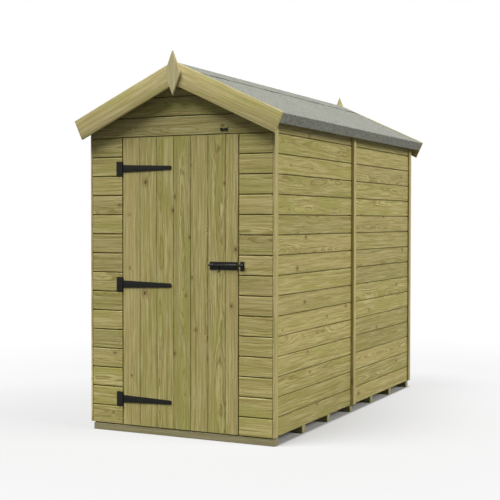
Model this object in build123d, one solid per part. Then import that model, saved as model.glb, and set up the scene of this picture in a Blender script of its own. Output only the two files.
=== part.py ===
from build123d import *
from math import cos, radians, sin, tan
import os

# Timber apex shed. Millimetres, Z up, X to the right along the front, Y towards the back.
# The origin is on the ground, under the middle of the shed.

# Walls
WALL_WIDTH = 1176.0
WALL_DEPTH = 2440.0
CLADDING = 12.0
CLADDING_BOTTOM = 46.0
FIRST_ROW = 108.0
BOARD_PITCH = 112.0
ROW_COUNT = 15
CORNER_SEAM = 3.0
SIDE_JOINT_Y = 3.0
PANEL_GAP = 2.0

# Frame timbers
FRAME_DEPTH = 28.0
FRAME_FACE = 44.0
SEAT_CLEARANCE = 0.3

# Floor
JOIST_COUNT = 7
JOIST_WIDTH = 47.0
JOIST_HEIGHT = 45.0
JOIST_END_INSET = 1.0
JOIST_FRONT_INSET = 21.5
SILL_INSET = 3.5
SILL_LEFT_INSET = 6.0
SILL_RIGHT_REACH = 10.0
SILL_REBATE = 5.5
SILL_REBATE_BEHIND_DOOR = 5.0
DECK_THICKNESS = 12.0
DECK_CLEARANCE = 5.0

# Cover strips
STRIP_THICKNESS = 12.0
STRIP_WIDTH = 44.0
JOINT_STRIP_THICKNESS = 20.0
JOINT_STRIP_WIDTH = 38.0

# Roof
SLOPE = 25.0
EAVES_ABOVE_DOOR_HEAD = 115.0
ROOF_BOARD = 12.0
EAVES_GAP = 14.4
ROOF_OVERHANG = 48.0
FELT = 3.0
FELT_FOLD = 58.0
RIDGE_CAP_RUN = 162.0
RIDGE_BEAM_WIDTH = 28.0
RIDGE_BEAM_DEPTH = 70.0
EAVES_BATTEN_WIDTH = 28.0
EAVES_BATTEN_DEPTH = 44.0

# Bargeboards and finials
BARGE_THICKNESS = 15.0
BARGE_DEPTH = 120.0
BARGE_PROUD = 8.0
BARGE_PAST_FELT = 2.0
FINIAL_THICKNESS = 15.0
FINIAL_WIDTH = 98.0
FINIAL_HEIGHT = 250.0
FINIAL_TOP_RISE = 66.0

# Door
DOOR_WIDTH = 752.0
DOOR_GAP = 5.0
DOOR_THICKNESS = 12.0
LEDGE_WIDTH = 95.0
LEDGE_THICKNESS = 20.0
LEDGE_END_INSET = 26.0
BRACE_WIDTH = 100.0
BRACE_END_INSET = 10.0
STOP_WIDTH = 20.0
STOP_THICKNESS = 12.0
STOP_JOINT = 1.0

# Tee hinges
HINGE_HEIGHTS = (195.5, 867.0, 1539.0)
HINGE_PLATE_WIDTH = 36.0
HINGE_PLATE_HEIGHT = 82.0
HINGE_THICKNESS = 3.0
STRAP_LENGTH = 330.0
STRAP_ROOT_HEIGHT = 43.0
STRAP_TIP_HEIGHT = 23.0
KNUCKLE_RADIUS = 4.5
KNUCKLE_STAND_OFF = 0.5
KNUCKLE_GAP = 0.5
PIN_RADIUS = 2.0
PIN_CLEARANCE = 0.05

# Bolt
BOLT_HEIGHT = 988.5
BOLT_PLATE_LENGTH = 175.0
BOLT_PLATE_TOP = 19.5
BOLT_PLATE_BOTTOM = 25.5
BOLT_PLATE_THICKNESS = 2.5
BOLT_EDGE_INSET = 3.0
BAR_RADIUS = 5.0
BAR_STAND_OFF = 1.0
BAR_CLEARANCE = 0.1
BAR_TAIL = 4.0
GUIDE_WALL = 3.4
REAR_GUIDE_START = 5.0
REAR_GUIDE_LENGTH = 24.0
FRONT_GUIDE_START = 93.0
FRONT_GUIDE_LENGTH = 80.0
HANDLE_FROM_PLATE_END = 58.0
HANDLE_RADIUS = 2.5
HANDLE_DROP = 37.0
HANDLE_BALL_RADIUS = 4.5
HANDLE_FORWARD = 1.5
KEEPER_FROM_OPENING = 7.0
KEEPER_WIDTH = 25.0
KEEPER_HEIGHT = 50.0
KEEPER_CLEARANCE = 1.0

# Turn button
BUTTON_X = 272.0
BUTTON_ABOVE_HEAD = 23.0
BUTTON_THICKNESS = 3.0
BUTTON_DOOR_GAP = 2.0
BUTTON_HEAD_RADIUS = 9.0
BUTTON_NECK_HALF = 5.0
BUTTON_NECK_REACH = 16.0
BUTTON_TAIL_HALF = 10.0
BUTTON_REACH = 42.0
BUTTON_NOTCH = 8.0
BUTTON_BOSS_RADIUS = 5.0
BUTTON_SCREW_RADIUS = 4.0
BUTTON_SCREW_HEIGHT = 2.0

# Places that follow from the sizes above
SLOPE_RAD = radians(SLOPE)
COS = cos(SLOPE_RAD)
SIN = sin(SLOPE_RAD)
TAN = tan(SLOPE_RAD)
WALL_OUT_X = WALL_WIDTH / 2
WALL_IN_X = WALL_OUT_X - CLADDING
WALL_OUT_Y = WALL_DEPTH / 2
WALL_IN_Y = WALL_OUT_Y - CLADDING
FRAME_IN_X = WALL_IN_X - FRAME_DEPTH
FRAME_IN_Y = WALL_IN_Y - FRAME_DEPTH
FRONT_CORNER_X = WALL_IN_X - FRAME_FACE
END_BOARDS_X = WALL_OUT_X - CORNER_SEAM
DECK_TOP = JOIST_HEIGHT + DECK_THICKNESS
DOOR_HEAD = CLADDING_BOTTOM + FIRST_ROW + (ROW_COUNT - 1) * BOARD_PITCH
OPENING_HALF = DOOR_WIDTH / 2 + DOOR_GAP
DOOR_TOP = DOOR_HEAD - DOOR_GAP
DOOR_BACK_Y = -WALL_OUT_Y + DOOR_THICKNESS
STRIP_OUT_X = WALL_OUT_X + STRIP_THICKNESS
RIDGE_HEIGHT = DOOR_HEAD + EAVES_ABOVE_DOOR_HEAD + TAN * WALL_OUT_X + ROOF_BOARD / COS
ROOF_RUN = (STRIP_OUT_X + EAVES_GAP + (ROOF_BOARD + EAVES_BATTEN_DEPTH) * SIN) / COS + EAVES_BATTEN_WIDTH
ROOF_HALF = WALL_OUT_Y + ROOF_OVERHANG
BARGE_FACE_Y = ROOF_HALF + BARGE_THICKNESS
HINGE_X = -(DOOR_WIDTH / 2 + DOOR_GAP / 2)
HINGE_Y = -(WALL_OUT_Y + KNUCKLE_STAND_OFF + KNUCKLE_RADIUS)
BAR_Y = -(WALL_OUT_Y + BOLT_PLATE_THICKNESS + BAR_STAND_OFF + BAR_RADIUS)
PLATE_END_X = DOOR_WIDTH / 2 - BOLT_EDGE_INSET
PLATE_START_X = PLATE_END_X - BOLT_PLATE_LENGTH


def write(node, solids):
    """Writes one node's solids to its own file."""
    shape = solids[0] if len(solids) == 1 else Compound(children=solids)
    shape.label = node
    export_step(shape, f"parts/{node}.step")


def block(x_range, y_range, z_range):
    """A box between two limits along each axis."""
    size = [max(r) - min(r) for r in (x_range, y_range, z_range)]
    middle = [(max(r) + min(r)) / 2 for r in (x_range, y_range, z_range)]
    return Pos(*middle) * Solid.make_box(*size).moved(Pos(*[-s / 2 for s in size]))


def prism(points, y_range):
    """An upright outline of X and Z points, extruded along Y."""
    low, high = min(y_range), max(y_range)
    face = Face(Wire.make_polygon([Vector(x, low, z) for x, z in points], close=True))
    return Solid.extrude(face, Vector(0, high - low, 0))


def under_roof(x):
    """Height of the underside of the roof boards at a distance from the middle."""
    return RIDGE_HEIGHT - TAN * abs(x) - ROOF_BOARD / COS


def slope_point(run, depth):
    """X and Z of a point at a run down the slope and a depth under the roof boards' top."""
    return run * COS - depth * SIN, RIDGE_HEIGHT - run * SIN - depth * COS


def ridge_point(depth):
    """X and Z of a point in the ridge plane, at a depth under the roof boards' top."""
    return 0.0, RIDGE_HEIGHT - depth / COS


def on_side(side, points):
    """An outline drawn for the right side, turned over for the left side when side is -1."""
    return [(side * x, z) for x, z in points]


def mirrored(solids):
    """The same solids on the other side of the shed."""
    return [solid.mirror(Plane.YZ) for solid in solids]


def front_joist():
    """The joist under the front wall, rebated along its front to clear the door."""
    front = -WALL_OUT_Y + SILL_INSET
    x_range = (SILL_LEFT_INSET - WALL_OUT_X, WALL_OUT_X + SILL_RIGHT_REACH)
    whole = block(x_range, (front, front + JOIST_WIDTH), (0.0, JOIST_HEIGHT))
    rebate_y = (front, DOOR_BACK_Y + SILL_REBATE_BEHIND_DOOR)
    return (whole - block(x_range, rebate_y, (JOIST_HEIGHT - SILL_REBATE, JOIST_HEIGHT))).solids()[0]


def floor_joists():
    """Seven joists across the width: the front one, and six evenly spaced to the back."""
    half = WALL_OUT_X - JOIST_END_INSET
    first = -WALL_OUT_Y + JOIST_FRONT_INSET
    pitch = (WALL_DEPTH - 2 * JOIST_FRONT_INSET - JOIST_WIDTH) / (JOIST_COUNT - 1)
    joists = [front_joist()]
    for number in range(1, JOIST_COUNT):
        front = first + number * pitch
        joists.append(block((-half, half), (front, front + JOIST_WIDTH), (0.0, JOIST_HEIGHT)))
    return joists


def floor_deck():
    """The floor, set in from the cladding that hangs over its edge."""
    half_x = WALL_IN_X - DECK_CLEARANCE
    half_y = WALL_IN_Y - DECK_CLEARANCE
    return block((-half_x, half_x), (-half_y, half_y), (JOIST_HEIGHT, DECK_TOP))


def front_wall(side):
    """Front cladding beside the door."""
    x_range = (side * OPENING_HALF, side * END_BOARDS_X)
    return block(x_range, (-WALL_OUT_Y, -WALL_IN_Y), (CLADDING_BOTTOM, DOOR_HEAD))


def gable_outline(bottom):
    """Outline of an end wall from a height up to the roof boards."""
    eaves = under_roof(END_BOARDS_X) - SEAT_CLEARANCE
    ridge = under_roof(0.0) - SEAT_CLEARANCE
    return [
        (-END_BOARDS_X, bottom),
        (END_BOARDS_X, bottom),
        (END_BOARDS_X, eaves),
        (0.0, ridge),
        (-END_BOARDS_X, eaves),
    ]


def side_wall(side, y_range):
    """Cladding of one side panel."""
    top = under_roof(WALL_OUT_X) - SEAT_CLEARANCE
    return block((side * WALL_IN_X, side * WALL_OUT_X), y_range, (CLADDING_BOTTOM, top))


def cover_strip(side, y_range, thickness):
    """A strip nailed on a side wall, over a corner or over the joint of two panels."""
    outside = WALL_OUT_X + thickness
    top = under_roof(outside) - SEAT_CLEARANCE
    return block((side * WALL_OUT_X, side * outside), y_range, (CLADDING_BOTTOM, top))


def rafter(side, y_range):
    """A sloping rail under the roof boards at a gable, from the ridge beam to the wall."""
    fall = SEAT_CLEARANCE
    deep = FRAME_FACE / COS
    near = RIDGE_BEAM_WIDTH / 2
    points = [
        (near, under_roof(near) - fall),
        (WALL_IN_X, under_roof(WALL_IN_X) - fall),
        (WALL_IN_X, under_roof(WALL_IN_X) - fall - deep),
        (near, under_roof(near) - fall - deep),
    ]
    return prism(on_side(side, points), y_range)


def rafter_under(x):
    """Height of a rafter's underside at a distance from the middle."""
    return under_roof(x) - SEAT_CLEARANCE - FRAME_FACE / COS


def ridge_beam_bottom():
    """Height of the ridge beam's underside."""
    return under_roof(RIDGE_BEAM_WIDTH / 2) - SEAT_CLEARANCE - RIDGE_BEAM_DEPTH


def front_posts():
    """Corner posts, door posts and the short post from the header to the ridge beam."""
    y_range = (-WALL_IN_Y, -FRAME_IN_Y)
    header_top = DOOR_HEAD + FRAME_FACE
    posts = []
    for side in (-1, 1):
        corner = (side * FRONT_CORNER_X, side * WALL_IN_X)
        posts.append(block(corner, y_range, (DECK_TOP, rafter_under(WALL_IN_X))))
        beside_door = (side * OPENING_HALF, side * (OPENING_HALF + FRAME_FACE))
        posts.append(block(beside_door, y_range, (DECK_TOP, DOOR_HEAD)))
    middle = (-FRAME_FACE / 2, FRAME_FACE / 2)
    posts.append(block(middle, y_range, (header_top, ridge_beam_bottom())))
    return posts


def front_rails():
    """Header over the door, bottom rails beside it and the two front rafters."""
    y_range = (-WALL_IN_Y, -FRAME_IN_Y)
    header_z = (DOOR_HEAD, DOOR_HEAD + FRAME_FACE)
    rails = [block((-FRONT_CORNER_X, FRONT_CORNER_X), y_range, header_z)]
    for side in (-1, 1):
        x_range = (side * (OPENING_HALF + FRAME_FACE), side * FRONT_CORNER_X)
        rails.append(block(x_range, y_range, (DECK_TOP, DECK_TOP + FRAME_FACE)))
        rails.append(rafter(side, y_range))
    return rails


def rear_posts():
    """Corner posts and a middle post that carries the ridge beam."""
    y_range = (FRAME_IN_Y, WALL_IN_Y)
    posts = []
    for side in (-1, 1):
        corner = (side * FRONT_CORNER_X, side * WALL_IN_X)
        posts.append(block(corner, y_range, (DECK_TOP, rafter_under(WALL_IN_X))))
    middle = (-FRAME_FACE / 2, FRAME_FACE / 2)
    posts.append(block(middle, y_range, (DECK_TOP, ridge_beam_bottom())))
    return posts


def rear_rails():
    """Bottom rails between the rear posts and the two rear rafters."""
    y_range = (FRAME_IN_Y, WALL_IN_Y)
    rails = []
    for side in (-1, 1):
        x_range = (side * FRAME_FACE / 2, side * FRONT_CORNER_X)
        rails.append(block(x_range, y_range, (DECK_TOP, DECK_TOP + FRAME_FACE)))
        rails.append(rafter(side, y_range))
    return rails


def side_panels():
    """Lengths along Y of the front and the rear panel of a side wall's frame."""
    front = (-FRAME_IN_Y, SIDE_JOINT_Y - PANEL_GAP / 2)
    rear = (SIDE_JOINT_Y + PANEL_GAP / 2, FRAME_IN_Y)
    return front, rear


def side_posts():
    """Posts of the right wall's frame: two ends and a middle one in each panel."""
    top = under_roof(WALL_IN_X) - SEAT_CLEARANCE - FRAME_FACE
    posts = []
    for front, rear in side_panels():
        middle = (front + rear - FRAME_FACE) / 2
        for start in (front, middle, rear - FRAME_FACE):
            y_range = (start, start + FRAME_FACE)
            z_range = (DECK_TOP + FRAME_FACE, top)
            posts.append(block((FRAME_IN_X, WALL_IN_X), y_range, z_range))
    return posts


def side_rails():
    """Bottom and top rails of the right wall's frame, one pair in each panel."""
    top = under_roof(WALL_IN_X) - SEAT_CLEARANCE
    rails = []
    for y_range in side_panels():
        for bottom in (DECK_TOP, top - FRAME_FACE):
            z_range = (bottom, bottom + FRAME_FACE)
            rails.append(block((FRAME_IN_X, WALL_IN_X), y_range, z_range))
    return rails


def roof_panel(side):
    """Roof boards of one slope."""
    points = [
        ridge_point(0.0),
        slope_point(ROOF_RUN, 0.0),
        slope_point(ROOF_RUN, ROOF_BOARD),
        ridge_point(ROOF_BOARD),
    ]
    return prism(on_side(side, points), (-ROOF_HALF, ROOF_HALF))


def roof_felt(side):
    """Felt of one slope, folded down over the edge of the eaves."""
    points = [
        ridge_point(-FELT),
        slope_point(ROOF_RUN + FELT, -FELT),
        slope_point(ROOF_RUN + FELT, FELT_FOLD - FELT),
        slope_point(ROOF_RUN, FELT_FOLD - FELT),
        slope_point(ROOF_RUN, 0.0),
        ridge_point(0.0),
    ]
    return prism(on_side(side, points), (-ROOF_HALF, ROOF_HALF))


def ridge_felt():
    """Strip of felt bent over the ridge, on top of both slopes."""
    right = [
        ridge_point(-2 * FELT),
        slope_point(RIDGE_CAP_RUN, -2 * FELT),
        slope_point(RIDGE_CAP_RUN, -FELT),
    ]
    left = on_side(-1, right[1:])
    points = right + [ridge_point(-FELT)] + left[::-1]
    return prism(points, (-ROOF_HALF, ROOF_HALF))


def roof_beams():
    """Ridge beam and the batten under each eaves edge."""
    half = RIDGE_BEAM_WIDTH / 2
    bottom = ridge_beam_bottom()
    beams = [block((-half, half), (-WALL_IN_Y, WALL_IN_Y), (bottom, bottom + RIDGE_BEAM_DEPTH))]
    points = [
        slope_point(ROOF_RUN - EAVES_BATTEN_WIDTH, ROOF_BOARD),
        slope_point(ROOF_RUN, ROOF_BOARD),
        slope_point(ROOF_RUN, ROOF_BOARD + EAVES_BATTEN_DEPTH),
        slope_point(ROOF_RUN - EAVES_BATTEN_WIDTH, ROOF_BOARD + EAVES_BATTEN_DEPTH),
    ]
    for side in (-1, 1):
        beams.append(prism(on_side(side, points), (-ROOF_HALF, ROOF_HALF)))
    return beams


def bargeboard(side, end):
    """Board that closes a gable's edge, standing a little proud of the felt."""
    run = ROOF_RUN + FELT + BARGE_PAST_FELT
    points = [
        ridge_point(-BARGE_PROUD),
        slope_point(run, -BARGE_PROUD),
        slope_point(run, BARGE_DEPTH - BARGE_PROUD),
        ridge_point(BARGE_DEPTH - BARGE_PROUD),
    ]
    return prism(on_side(side, points), (end * ROOF_HALF, end * BARGE_FACE_Y))


def finial(end):
    """Diamond of board over the meeting of two bargeboards."""
    top = RIDGE_HEIGHT + FINIAL_TOP_RISE
    middle = top - FINIAL_HEIGHT / 2
    points = [
        (0.0, top),
        (FINIAL_WIDTH / 2, middle),
        (0.0, top - FINIAL_HEIGHT),
        (-FINIAL_WIDTH / 2, middle),
    ]
    return prism(points, (end * BARGE_FACE_Y, end * (BARGE_FACE_Y + FINIAL_THICKNESS)))


def door_stops():
    """Battens on the door posts and the header, behind the edges of the closed door."""
    front = DOOR_BACK_Y + DOOR_GAP
    y_range = (front, front + STOP_THICKNESS)
    top_bottom = DOOR_HEAD - STOP_WIDTH
    stops = [block((-OPENING_HALF, OPENING_HALF), y_range, (top_bottom, DOOR_HEAD))]
    for side in (-1, 1):
        x_range = (side * (OPENING_HALF - STOP_WIDTH), side * OPENING_HALF)
        stops.append(block(x_range, y_range, (DECK_TOP, top_bottom - STOP_JOINT)))
    return stops


def door_boards():
    """The door's leaf of upright boards."""
    half = DOOR_WIDTH / 2
    return block((-half, half), (-WALL_OUT_Y, DOOR_BACK_Y), (CLADDING_BOTTOM, DOOR_TOP))


def door_ledges():
    """Three boards across the back of the door, one behind each hinge."""
    half = DOOR_WIDTH / 2 - LEDGE_END_INSET
    y_range = (DOOR_BACK_Y, DOOR_BACK_Y + LEDGE_THICKNESS)
    ledges = []
    for height in HINGE_HEIGHTS:
        z_range = (height - LEDGE_WIDTH / 2, height + LEDGE_WIDTH / 2)
        ledges.append(block((-half, half), y_range, z_range))
    return ledges


def door_braces():
    """Sloping boards between the ledges, rising from the hinge side."""
    half = DOOR_WIDTH / 2 - LEDGE_END_INSET - BRACE_END_INSET
    y_range = (DOOR_BACK_Y, DOOR_BACK_Y + LEDGE_THICKNESS)
    braces = []
    for low, high in zip(HINGE_HEIGHTS[:-1], HINGE_HEIGHTS[1:]):
        bottom = low + LEDGE_WIDTH / 2
        top = high - LEDGE_WIDTH / 2
        points = [(-half, bottom), (BRACE_WIDTH - half, bottom), (half, top), (half - BRACE_WIDTH, top)]
        braces.append(prism(points, y_range))
    return braces


def knuckle(z_low, z_high, radius):
    """An upright round length on the hinge's axis."""
    return Pos(HINGE_X, HINGE_Y, z_low) * Solid.make_cylinder(radius, z_high - z_low)


def hinge_plate(height):
    """Wall leaf of a tee hinge, with its two knuckles and the pin."""
    half = HINGE_PLATE_HEIGHT / 2
    strap_half = STRAP_ROOT_HEIGHT / 2 + KNUCKLE_GAP
    outside = HINGE_X - KNUCKLE_RADIUS - HINGE_PLATE_WIDTH
    y_range = (-WALL_OUT_Y - HINGE_THICKNESS, -WALL_OUT_Y)
    leaf = block((outside, HINGE_X - KNUCKLE_RADIUS - KNUCKLE_GAP), y_range, (height - half, height + half))
    solid = leaf + knuckle(height - half, height + half, PIN_RADIUS)
    behind_pin = (-WALL_OUT_Y, HINGE_Y + KNUCKLE_RADIUS)
    for low, high in ((-half, -strap_half), (strap_half, half)):
        z_range = (height + low, height + high)
        link = block((outside, HINGE_X), y_range, z_range)
        link = link - block((HINGE_X - 2 * KNUCKLE_RADIUS, HINGE_X), behind_pin, z_range)
        solid = solid + link + knuckle(height + low, height + high, KNUCKLE_RADIUS)
    return solid.solids()[0]


def hinge_strap(height):
    """Tapered door leaf of a tee hinge, with the knuckle that turns on the pin."""
    half = STRAP_ROOT_HEIGHT / 2
    tip = STRAP_TIP_HEIGHT / 2
    start = HINGE_X
    flat_end = HINGE_X + STRAP_LENGTH - tip
    lower_edge = [(start, height - half), (flat_end, height - tip)]
    upper_edge = [(flat_end, height + tip), (start, height + half)]
    points = lower_edge + upper_edge
    y_range = (-WALL_OUT_Y - HINGE_THICKNESS, -WALL_OUT_Y)
    leaf = prism(points, y_range)
    turned = Pos(flat_end, -WALL_OUT_Y, height) * Rot(90, 0, 0)
    leaf = leaf + turned * Solid.make_cylinder(tip, HINGE_THICKNESS)
    near = (HINGE_X - KNUCKLE_RADIUS, HINGE_X + KNUCKLE_RADIUS)
    leaf = leaf - block(near, (-WALL_OUT_Y, HINGE_Y + KNUCKLE_RADIUS), (height - half, height + half))
    solid = leaf + knuckle(height - half, height + half, KNUCKLE_RADIUS)
    bore = knuckle(height - half, height + half, PIN_RADIUS + PIN_CLEARANCE)
    return (solid - bore).solids()[0]


def rod_along_x(start, end, radius):
    """A round length on the bolt's axis."""
    turned = Pos(start, BAR_Y, BOLT_HEIGHT) * Rot(0, 90, 0)
    return turned * Solid.make_cylinder(radius, end - start)


def guide(start, end, bore):
    """A saddle over the bolt's axis, open along it."""
    outer = BAR_RADIUS + GUIDE_WALL
    legs = block((start, end), (-WALL_OUT_Y, BAR_Y), (BOLT_HEIGHT - outer, BOLT_HEIGHT + outer))
    return legs + rod_along_x(start, end, outer) - rod_along_x(start, end, bore)


def bolt_plate():
    """Plate on the door with the two guides of the bolt."""
    z_range = (BOLT_HEIGHT - BOLT_PLATE_BOTTOM, BOLT_HEIGHT + BOLT_PLATE_TOP)
    plate = block((PLATE_START_X, PLATE_END_X), (-WALL_OUT_Y - BOLT_PLATE_THICKNESS, -WALL_OUT_Y), z_range)
    bore = BAR_RADIUS + BAR_CLEARANCE
    for start, length in ((REAR_GUIDE_START, REAR_GUIDE_LENGTH), (FRONT_GUIDE_START, FRONT_GUIDE_LENGTH)):
        plate = plate + guide(PLATE_START_X + start, PLATE_START_X + start + length, bore)
    return plate.solids()[0]


def bolt_bar():
    """Round bar, drawn back, with its drop handle."""
    handle_x = PLATE_START_X + HANDLE_FROM_PLATE_END
    handle_y = BAR_Y - HANDLE_FORWARD
    bottom = BOLT_HEIGHT - HANDLE_DROP
    bar = rod_along_x(PLATE_START_X - BAR_TAIL, PLATE_END_X, BAR_RADIUS)
    stem = Pos(handle_x, handle_y, bottom) * Solid.make_cylinder(HANDLE_RADIUS, HANDLE_DROP)
    ball = Pos(handle_x, handle_y, bottom) * Solid.make_sphere(HANDLE_BALL_RADIUS)
    return (bar + stem + ball).solids()[0]


def bolt_keeper():
    """Plate and loop on the wall that take the end of the bar."""
    start = OPENING_HALF + KEEPER_FROM_OPENING
    end = start + KEEPER_WIDTH
    middle = BOLT_HEIGHT + (BOLT_PLATE_TOP - BOLT_PLATE_BOTTOM) / 2
    z_range = (middle - KEEPER_HEIGHT / 2, middle + KEEPER_HEIGHT / 2)
    plate = block((start, end), (-WALL_OUT_Y - BOLT_PLATE_THICKNESS, -WALL_OUT_Y), z_range)
    bore = BAR_RADIUS + KEEPER_CLEARANCE
    keeper = plate + guide(start, end, bore)
    keeper = keeper - rod_along_x(start, end, bore)
    return keeper.solids()[0]


def turn_button():
    """Flat button on a screw over the door, turned aside with its tail to the right."""
    height = DOOR_HEAD + BUTTON_ABOVE_HEAD
    back = -WALL_OUT_Y - BUTTON_DOOR_GAP
    face = back - BUTTON_THICKNESS
    neck_x = BUTTON_X + BUTTON_NECK_REACH
    tail_x = BUTTON_X + BUTTON_REACH
    points = [
        (BUTTON_X, height - BUTTON_NECK_HALF),
        (neck_x, height - BUTTON_NECK_HALF),
        (tail_x, height - BUTTON_TAIL_HALF),
        (tail_x - BUTTON_NOTCH, height),
        (tail_x, height + BUTTON_TAIL_HALF),
        (neck_x, height + BUTTON_NECK_HALF),
        (BUTTON_X, height + BUTTON_NECK_HALF),
    ]
    turned = Pos(BUTTON_X, 0, height) * Rot(90, 0, 0)
    blade = prism(points, (face, back))
    head = turned * Pos(0, 0, -back) * Solid.make_cylinder(BUTTON_HEAD_RADIUS, BUTTON_THICKNESS)
    boss_back = WALL_OUT_Y + SEAT_CLEARANCE
    boss = turned * Pos(0, 0, boss_back) * Solid.make_cylinder(BUTTON_BOSS_RADIUS, -face - boss_back)
    screw = turned * Pos(0, 0, -face) * Solid.make_cylinder(BUTTON_SCREW_RADIUS, BUTTON_SCREW_HEIGHT)
    return (blade + head + boss + screw).solids()[0]


def write_walls():
    """Cladding, its cover strips and the frames behind it."""
    write("front_wall_left", [front_wall(-1)])
    write("front_wall_right", [front_wall(1)])
    write("front_gable", [prism(gable_outline(DOOR_HEAD), (-WALL_OUT_Y, -WALL_IN_Y))])
    write("rear_wall", [prism(gable_outline(CLADDING_BOTTOM), (WALL_IN_Y, WALL_OUT_Y))])
    half_gap = PANEL_GAP / 2
    half_strip = JOINT_STRIP_WIDTH / 2
    for name, side in (("left", -1), ("right", 1)):
        write(f"{name}_wall_front", [side_wall(side, (-WALL_IN_Y, SIDE_JOINT_Y - half_gap))])
        write(f"{name}_wall_rear", [side_wall(side, (SIDE_JOINT_Y + half_gap, WALL_IN_Y))])
        front_y = (-WALL_OUT_Y, STRIP_WIDTH - WALL_OUT_Y)
        rear_y = (WALL_OUT_Y - STRIP_WIDTH, WALL_OUT_Y)
        joint_y = (SIDE_JOINT_Y - half_strip, SIDE_JOINT_Y + half_strip)
        write(f"corner_strip_front_{name}", [cover_strip(side, front_y, STRIP_THICKNESS)])
        write(f"corner_strip_rear_{name}", [cover_strip(side, rear_y, STRIP_THICKNESS)])
        write(f"joint_strip_{name}", [cover_strip(side, joint_y, JOINT_STRIP_THICKNESS)])
    write("right_posts", side_posts())
    write("right_rails", side_rails())
    write("left_posts", mirrored(side_posts()))
    write("left_rails", mirrored(side_rails()))
    write("front_posts", front_posts())
    write("front_rails", front_rails())
    write("rear_posts", rear_posts())
    write("rear_rails", rear_rails())
    write("door_stops", door_stops())


def write_floor():
    """Joists and deck."""
    write("floor_joists", floor_joists())
    write("floor_deck", [floor_deck()])


def write_roof():
    """Roof boards, felt, beams, bargeboards and finials."""
    for name, side in (("left", -1), ("right", 1)):
        write(f"roof_panel_{name}", [roof_panel(side)])
        write(f"roof_felt_{name}", [roof_felt(side)])
        write(f"bargeboard_front_{name}", [bargeboard(side, -1)])
        write(f"bargeboard_rear_{name}", [bargeboard(side, 1)])
    write("ridge_felt", [ridge_felt()])
    write("roof_beams", roof_beams())
    write("finial_front", [finial(-1)])
    write("finial_rear", [finial(1)])


def write_door():
    """The door, its hinges, its bolt and the turn button."""
    write("door_boards", [door_boards()])
    write("door_ledges", door_ledges())
    write("door_braces", door_braces())
    write("hinge_plates", [hinge_plate(height) for height in HINGE_HEIGHTS])
    write("hinge_straps", [hinge_strap(height) for height in HINGE_HEIGHTS])
    write("bolt_plate", [bolt_plate()])
    write("bolt_bar", [bolt_bar()])
    write("bolt_keeper", [bolt_keeper()])
    write("turn_button", [turn_button()])


def main():
    """Writes every node of the shed."""
    os.makedirs("parts", exist_ok=True)
    write_floor()
    write_walls()
    write_roof()
    write_door()


main()
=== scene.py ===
"""A wooden garden shed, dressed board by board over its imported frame."""
import logging
import math
import random
from contextlib import contextmanager
from dataclasses import dataclass, field
from enum import Enum
from typing import Callable, Iterator, Optional, Sequence, Union

import bmesh
import bpy
import numpy as np
from mathutils import Euler, Matrix, Vector


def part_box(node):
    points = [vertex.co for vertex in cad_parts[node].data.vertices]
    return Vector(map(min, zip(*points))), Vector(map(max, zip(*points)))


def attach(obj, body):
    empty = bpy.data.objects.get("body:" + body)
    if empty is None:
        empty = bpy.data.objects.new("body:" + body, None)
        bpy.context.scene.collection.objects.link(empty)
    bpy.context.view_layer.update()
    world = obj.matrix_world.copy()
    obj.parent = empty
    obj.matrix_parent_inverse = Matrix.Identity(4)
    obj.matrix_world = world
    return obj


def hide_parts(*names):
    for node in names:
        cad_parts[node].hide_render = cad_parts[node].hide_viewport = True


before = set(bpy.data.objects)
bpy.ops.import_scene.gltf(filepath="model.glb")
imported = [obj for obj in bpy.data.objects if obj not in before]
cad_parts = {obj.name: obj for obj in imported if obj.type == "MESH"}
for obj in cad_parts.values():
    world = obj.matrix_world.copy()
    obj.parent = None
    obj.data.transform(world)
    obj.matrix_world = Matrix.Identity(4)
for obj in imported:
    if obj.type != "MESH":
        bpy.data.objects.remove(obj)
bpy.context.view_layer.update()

LOG = logging.getLogger("shed")

# Sizes shared by several sub-assemblies, in metres
SLOPE = math.radians(25.0)
COS = math.cos(SLOPE)
SIN = math.sin(SLOPE)
TAN = math.tan(SLOPE)
PITCH = 0.112
CLADDING = 0.012
CLADDING_BOTTOM = 0.046
FIRST_JOINT = 0.154
DOOR_HEAD = 1.722
WALL_FRONT = 1.220
WALL_SIDE = 0.588
ROOF_BOARD = 0.012
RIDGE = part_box("roof_panel_right")[1].z
ROOF_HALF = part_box("roof_panel_right")[1].y
ROOF_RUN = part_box("roof_panel_right")[1].x / COS
SEAT = 0.0003
HINGE_HEIGHTS = (0.1955, 0.867, 1.539)

# How near to each other two places count as one
HAIR = 1e-5

# Directions of a timber's length, width and thickness
FLAT_BOARD = ((1.0, 0.0, 0.0), (0.0, 0.0, 1.0), (0.0, 1.0, 0.0))
UPRIGHT_BOARD = ((0.0, 0.0, 1.0), (1.0, 0.0, 0.0), (0.0, 1.0, 0.0))
JOIST = ((1.0, 0.0, 0.0), (0.0, 1.0, 0.0), (0.0, 0.0, 1.0))
SIDE_STRIP = ((0.0, 0.0, 1.0), (0.0, 1.0, 0.0), (1.0, 0.0, 0.0))
SLOPING_BOARD = ((COS, 0.0, -SIN), (SIN, 0.0, COS), (0.0, 1.0, 0.0))

FACING_FRONT = Vector((0.0, -1.0, 0.0))
FACING_UP = Vector((0.0, 0.0, 1.0))
DOWN_THE_SLOPE = (0.0, math.degrees(SLOPE), 0.0)

Piece = bpy.types.Object
Material = bpy.types.Material
Socket = bpy.types.NodeSocket
Triple = tuple[float, float, float]
Spots = list[tuple[Vector, Vector]]
Shade = Callable[[np.ndarray], np.ndarray]


class Side(Enum):
    """The wall that a run of boards belongs to, by the turn that brings it there from the front."""

    FRONT = 0.0
    RIGHT = 90.0
    BACK = 180.0
    LEFT = -90.0


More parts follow.
